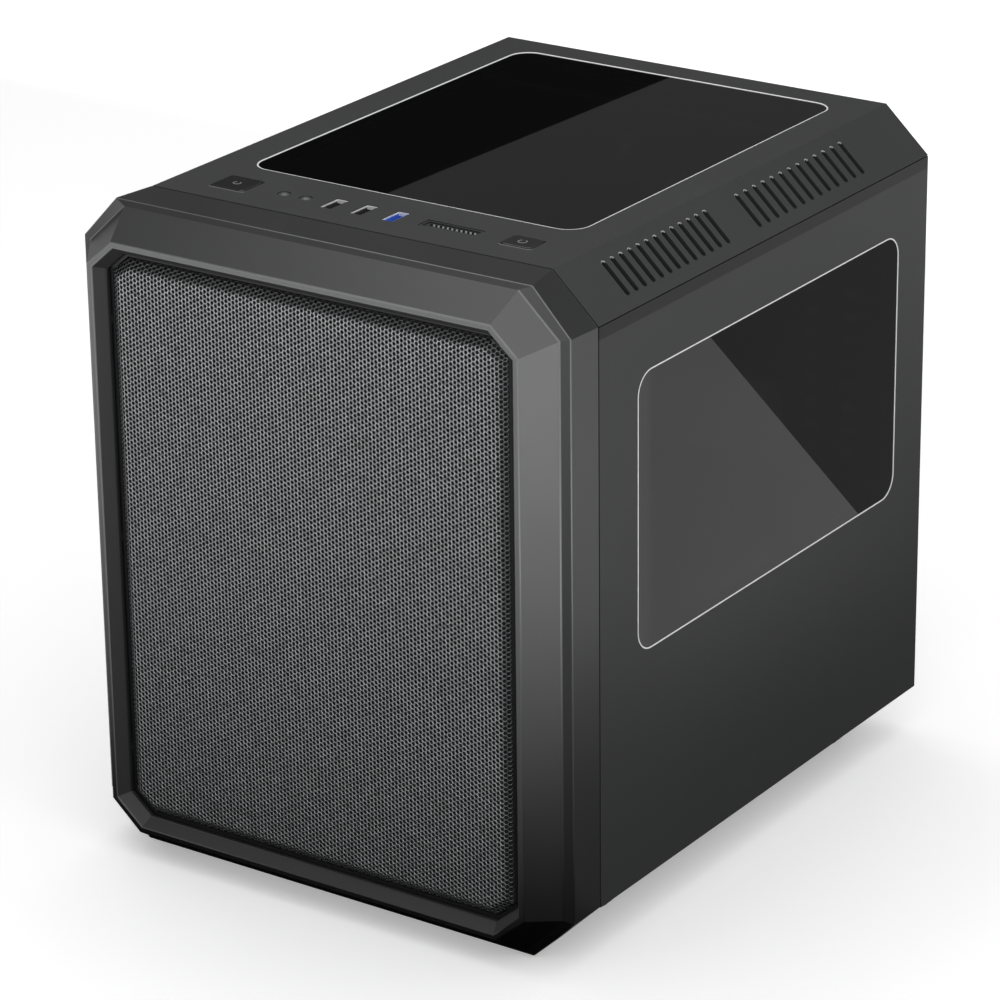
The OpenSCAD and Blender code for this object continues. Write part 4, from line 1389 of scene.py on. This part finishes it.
@dataclass
class Studio:
    """Camera, floor, lamps and the cards that only reflections see."""

    target: Tuple[float, float, float] = (-0.0079, -0.0001, 0.1437)
    azimuth: float = 34.50
    elevation: float = 21.94
    roll: float = -0.71
    distance: float = 2.0662
    lens: float = 158.17
    floor_reach: float = 40.0
    floor_glow: float = 0.33
    world_light: float = 0.62
    aim_z: float = 0.16

    def camera(self) -> None:
        """Stands the camera where the photograph was taken from."""
        roll = math.radians(self.roll)
        back = (self.eye() - Vector(self.target)).normalized()
        right = Vector((0, 0, 1)).cross(back).normalized()
        up = back.cross(right)
        rolled_right = math.cos(roll) * right + math.sin(roll) * up
        rolled_up = math.cos(roll) * up - math.sin(roll) * right
        data = bpy.data.cameras.new("photo_camera")
        data.lens = self.lens
        data.sensor_width = 36.0
        data.clip_end = 50.0
        made = bpy.data.objects.new("photo_camera", data)
        turn = Matrix((rolled_right, rolled_up, back)).transposed().to_4x4()
        made.matrix_world = Matrix.Translation(self.eye()) @ turn
        bpy.context.scene.collection.objects.link(made)
        bpy.context.scene.camera = made

    def plate(
        self, name: str, corners: Sequence[Sequence[float]], dress: Callable[[Graph], Wire]
    ) -> bpy.types.Object:
        """A flat stage plate.

        Args:
            name: the plate's name.
            corners: its four corners in metres.
            dress: what makes its shader.

        Returns:
            The plate's object.
        """
        mesh = bpy.data.meshes.new(name)
        mesh.from_pydata([tuple(c) for c in corners], [], [(0, 1, 2, 3)])
        made = bpy.data.objects.new(name, mesh)
        bpy.context.scene.collection.objects.link(made)
        material = bpy.data.materials.new(name)
        material.use_nodes = True
        graph = Graph(material.node_tree)
        graph.finish(dress(graph))
        mesh.materials.append(material)
        return made

    def flat(
        self, x: Tuple[float, float], y: Tuple[float, float], z: float
    ) -> Sequence[Tuple[float, float, float]]:
        """The corners of a level rectangle that faces up, from its reach in x and y."""
        return [(x[0], y[0], z), (x[1], y[0], z), (x[1], y[1], z), (x[0], y[1], z)]

    def floor(self) -> None:
        """A pale floor with a faint gloss, white to the camera away from the shadow.

        From below it is clear, so that the underside can be looked at.
        """
        def dress(graph: Graph) -> Wire:
            """White floor with a little light of its own for the camera."""
            seen = graph.node("ShaderNodeLightPath", out="Is Camera Ray")
            body = graph.surface({
                "Base Color": (0.86, 0.86, 0.86, 1.0),
                "Roughness": 0.05,
                "Specular IOR Level": 0.5,
            })
            above = graph.node(
                "ShaderNodeAddShader",
                sockets={0: body, 1: self.glow(graph, seen * self.floor_glow)},
            )
            clear = graph.node("ShaderNodeBsdfTransparent")
            under = graph.node("ShaderNodeNewGeometry", out="Backfacing")
            return graph.node("ShaderNodeMixShader", sockets={0: under, 1: above, 2: clear})

        span = (-self.floor_reach, self.floor_reach)
        self.plate("floor", self.flat(span, span, 0), dress)

    def card(
        self, name: str, corners: Sequence[Sequence[float]], light: Callable[[Graph], Any]
    ) -> None:
        """A plate that only glossy reflections see.

        Args:
            name: the card's name.
            corners: its four corners in metres.
            light: gives the strength of its light, as a number or a wire.
        """
        made = self.plate(name, corners, lambda graph: self.glow(graph, light(graph)))
        made.visible_camera = False
        made.visible_diffuse = False
        made.visible_shadow = False
        made.visible_transmission = False
        made.visible_volume_scatter = False

    def glow(self, graph: Graph, value: Any) -> Wire:
        """White light of its own, from a number or a wire."""
        return graph.node("ShaderNodeEmission", sockets={"Color": WHITE, "Strength": value})

    def cards(self) -> None:
        """The dark and pale cards that the glossy faces show."""
        self.card(
            "front_card", self.flat((-2.6, 0.14), (-3.0, -0.17), 0.002),
            lambda graph: (-1.0 * graph.split(graph.place())[1]).ramp(0.22, 1.1) * 2.4,
        )

        def right(graph: Graph) -> Wire:
            """Dark close to the case, paler away from it."""
            x, _, _ = graph.split(graph.place())
            return x.ramp(0.24, 0.5) * 1.1 + x.ramp(0.48, 0.7) * 2.4

        self.card("right_card", self.flat((0.14, 2.6), (-3.0, 0.14), 0.002), right)
        self.card(
            "rear_right_card",
            [(0.28, 0.37, 0.003), (0.56, 0.626, 0.003), (0.56, 0.98, 0.003), (0.28, 0.45, 0.003)],
            lambda graph: 0.2,
        )
        self.card(
            "low_right_card", self.flat((0.135, 0.27), (-0.1, 0.8), 0.003), lambda graph: 0.12
        )
        self.card(
            "under_card", self.flat((-0.15, 0.14), (-0.19, -0.125), 0.001), lambda graph: 0.0
        )
        self.card(
            "left_dark_card",
            [(-0.6, -0.9, 0.31), (-0.6, 0.3, 0.31), (-0.6, 0.3, 1.22), (-0.6, -0.9, 1.22)],
            lambda graph: 0.18,
        )
        # The edge between the two rear cards is where the top window shows its edge.
        far, low, high = 1.6, 0.31, 2.6
        window = ((-0.0127, -0.0798, 0.3156), (-0.0027, 0.139, 0.3156))
        near_end, far_end = (self.mirrored(point, far) for point in window)
        slope = (far_end.x - near_end.x) / (far_end.z - near_end.z)
        foot, head = (near_end.x + slope * (z - near_end.z) for z in (low, high))
        self.card(
            "top_dark_card",
            [(-6.0, far, low), (foot, far, low), (head, far, high), (-6.0, far, high)],
            lambda graph: 0.01,
        )
        self.card(
            "top_pale_card",
            [(foot, far, low), (1.2, far, low), (1.2, far, high), (head, far, high)],
            lambda graph: 0.12,
        )

    def eye(self) -> Vector:
        """Where the camera stands."""
        az, el = math.radians(self.azimuth), math.radians(self.elevation)
        back = Vector((math.sin(az) * math.cos(el), -math.cos(az) * math.cos(el), math.sin(el)))
        return Vector(self.target) + back * self.distance

    def mirrored(self, point: Sequence[float], far: float) -> Vector:
        """Where the camera's reflection at a point of the level top meets the plane y = far.

        Args:
            point: the point of the top.
            far: the plane's y.

        Returns:
            The place on the plane.
        """
        ray = Vector(point) - self.eye()
        ray.z = -ray.z
        return Vector(point) + ray * ((far - point[1]) / ray.y)

    def lamp(
        self, name: str, place: Sequence[float], size: float, power: float
    ) -> None:
        """A soft square lamp that looks at the case.

        Args:
            name: the lamp's name.
            place: where it stands, in metres.
            size: its side, in metres.
            power: its power, in watts.
        """
        data = bpy.data.lights.new(name, "AREA")
        data.shape = "SQUARE"
        data.size = size
        data.energy = power
        made = bpy.data.objects.new(name, data)
        aim = Vector((0, 0, self.aim_z)) - Vector(place)
        turn = aim.to_track_quat("-Z", "Y").to_matrix().to_4x4()
        made.matrix_world = Matrix.Translation(Vector(place)) @ turn
        bpy.context.scene.collection.objects.link(made)

    def world(self) -> None:
        """White to the camera and to reflections, softer as a light."""
        made = bpy.data.worlds.new("studio")
        bpy.context.scene.world = made
        made.use_nodes = True
        graph = Graph(made.node_tree)
        path = graph.node("ShaderNodeLightPath", out="Is Camera Ray").socket.node
        camera, glossy, through = (
            Wire(graph, path.outputs[name])
            for name in ("Is Camera Ray", "Is Glossy Ray", "Is Transmission Ray")
        )
        seen = (camera + glossy + through) > 0.5
        strength = self.world_light + seen * (1 - self.world_light)
        shader = graph.node(
            "ShaderNodeBackground", sockets={"Color": WHITE, "Strength": strength}
        )
        graph.node("ShaderNodeOutputWorld", sockets={"Surface": shader})

    def build(self) -> None:
        """Sets the stage."""
        self.camera()
        self.floor()
        self.cards()
        self.world()
        self.lamp("key_lamp", place=(1.5, -1.3, 2.2), size=2.6, power=22.0)
        self.lamp("top_lamp", place=(-0.6, 0.5, 2.6), size=3.0, power=26.0)
        bpy.context.scene.view_settings.view_transform = "Standard"


def main() -> None:
    """Builds the studio and every sub-assembly in order."""
    logging.basicConfig(level=logging.INFO, format="%(name)s: %(message)s")
    Studio().build()
    wardrobe = Wardrobe()
    wardrobe.dress_nodes()
    shop = Workshop(wardrobe)
    for part in (
        FrontMesh(shop), Shell(shop), WindowEdges(shop), KeyMarks(shop), VentEnds(shop),
        SocketSprings(shop),
    ):
        part.build()
    LOG.info("%d pieces", shop.count)


if __name__ == "__main__":
    main()
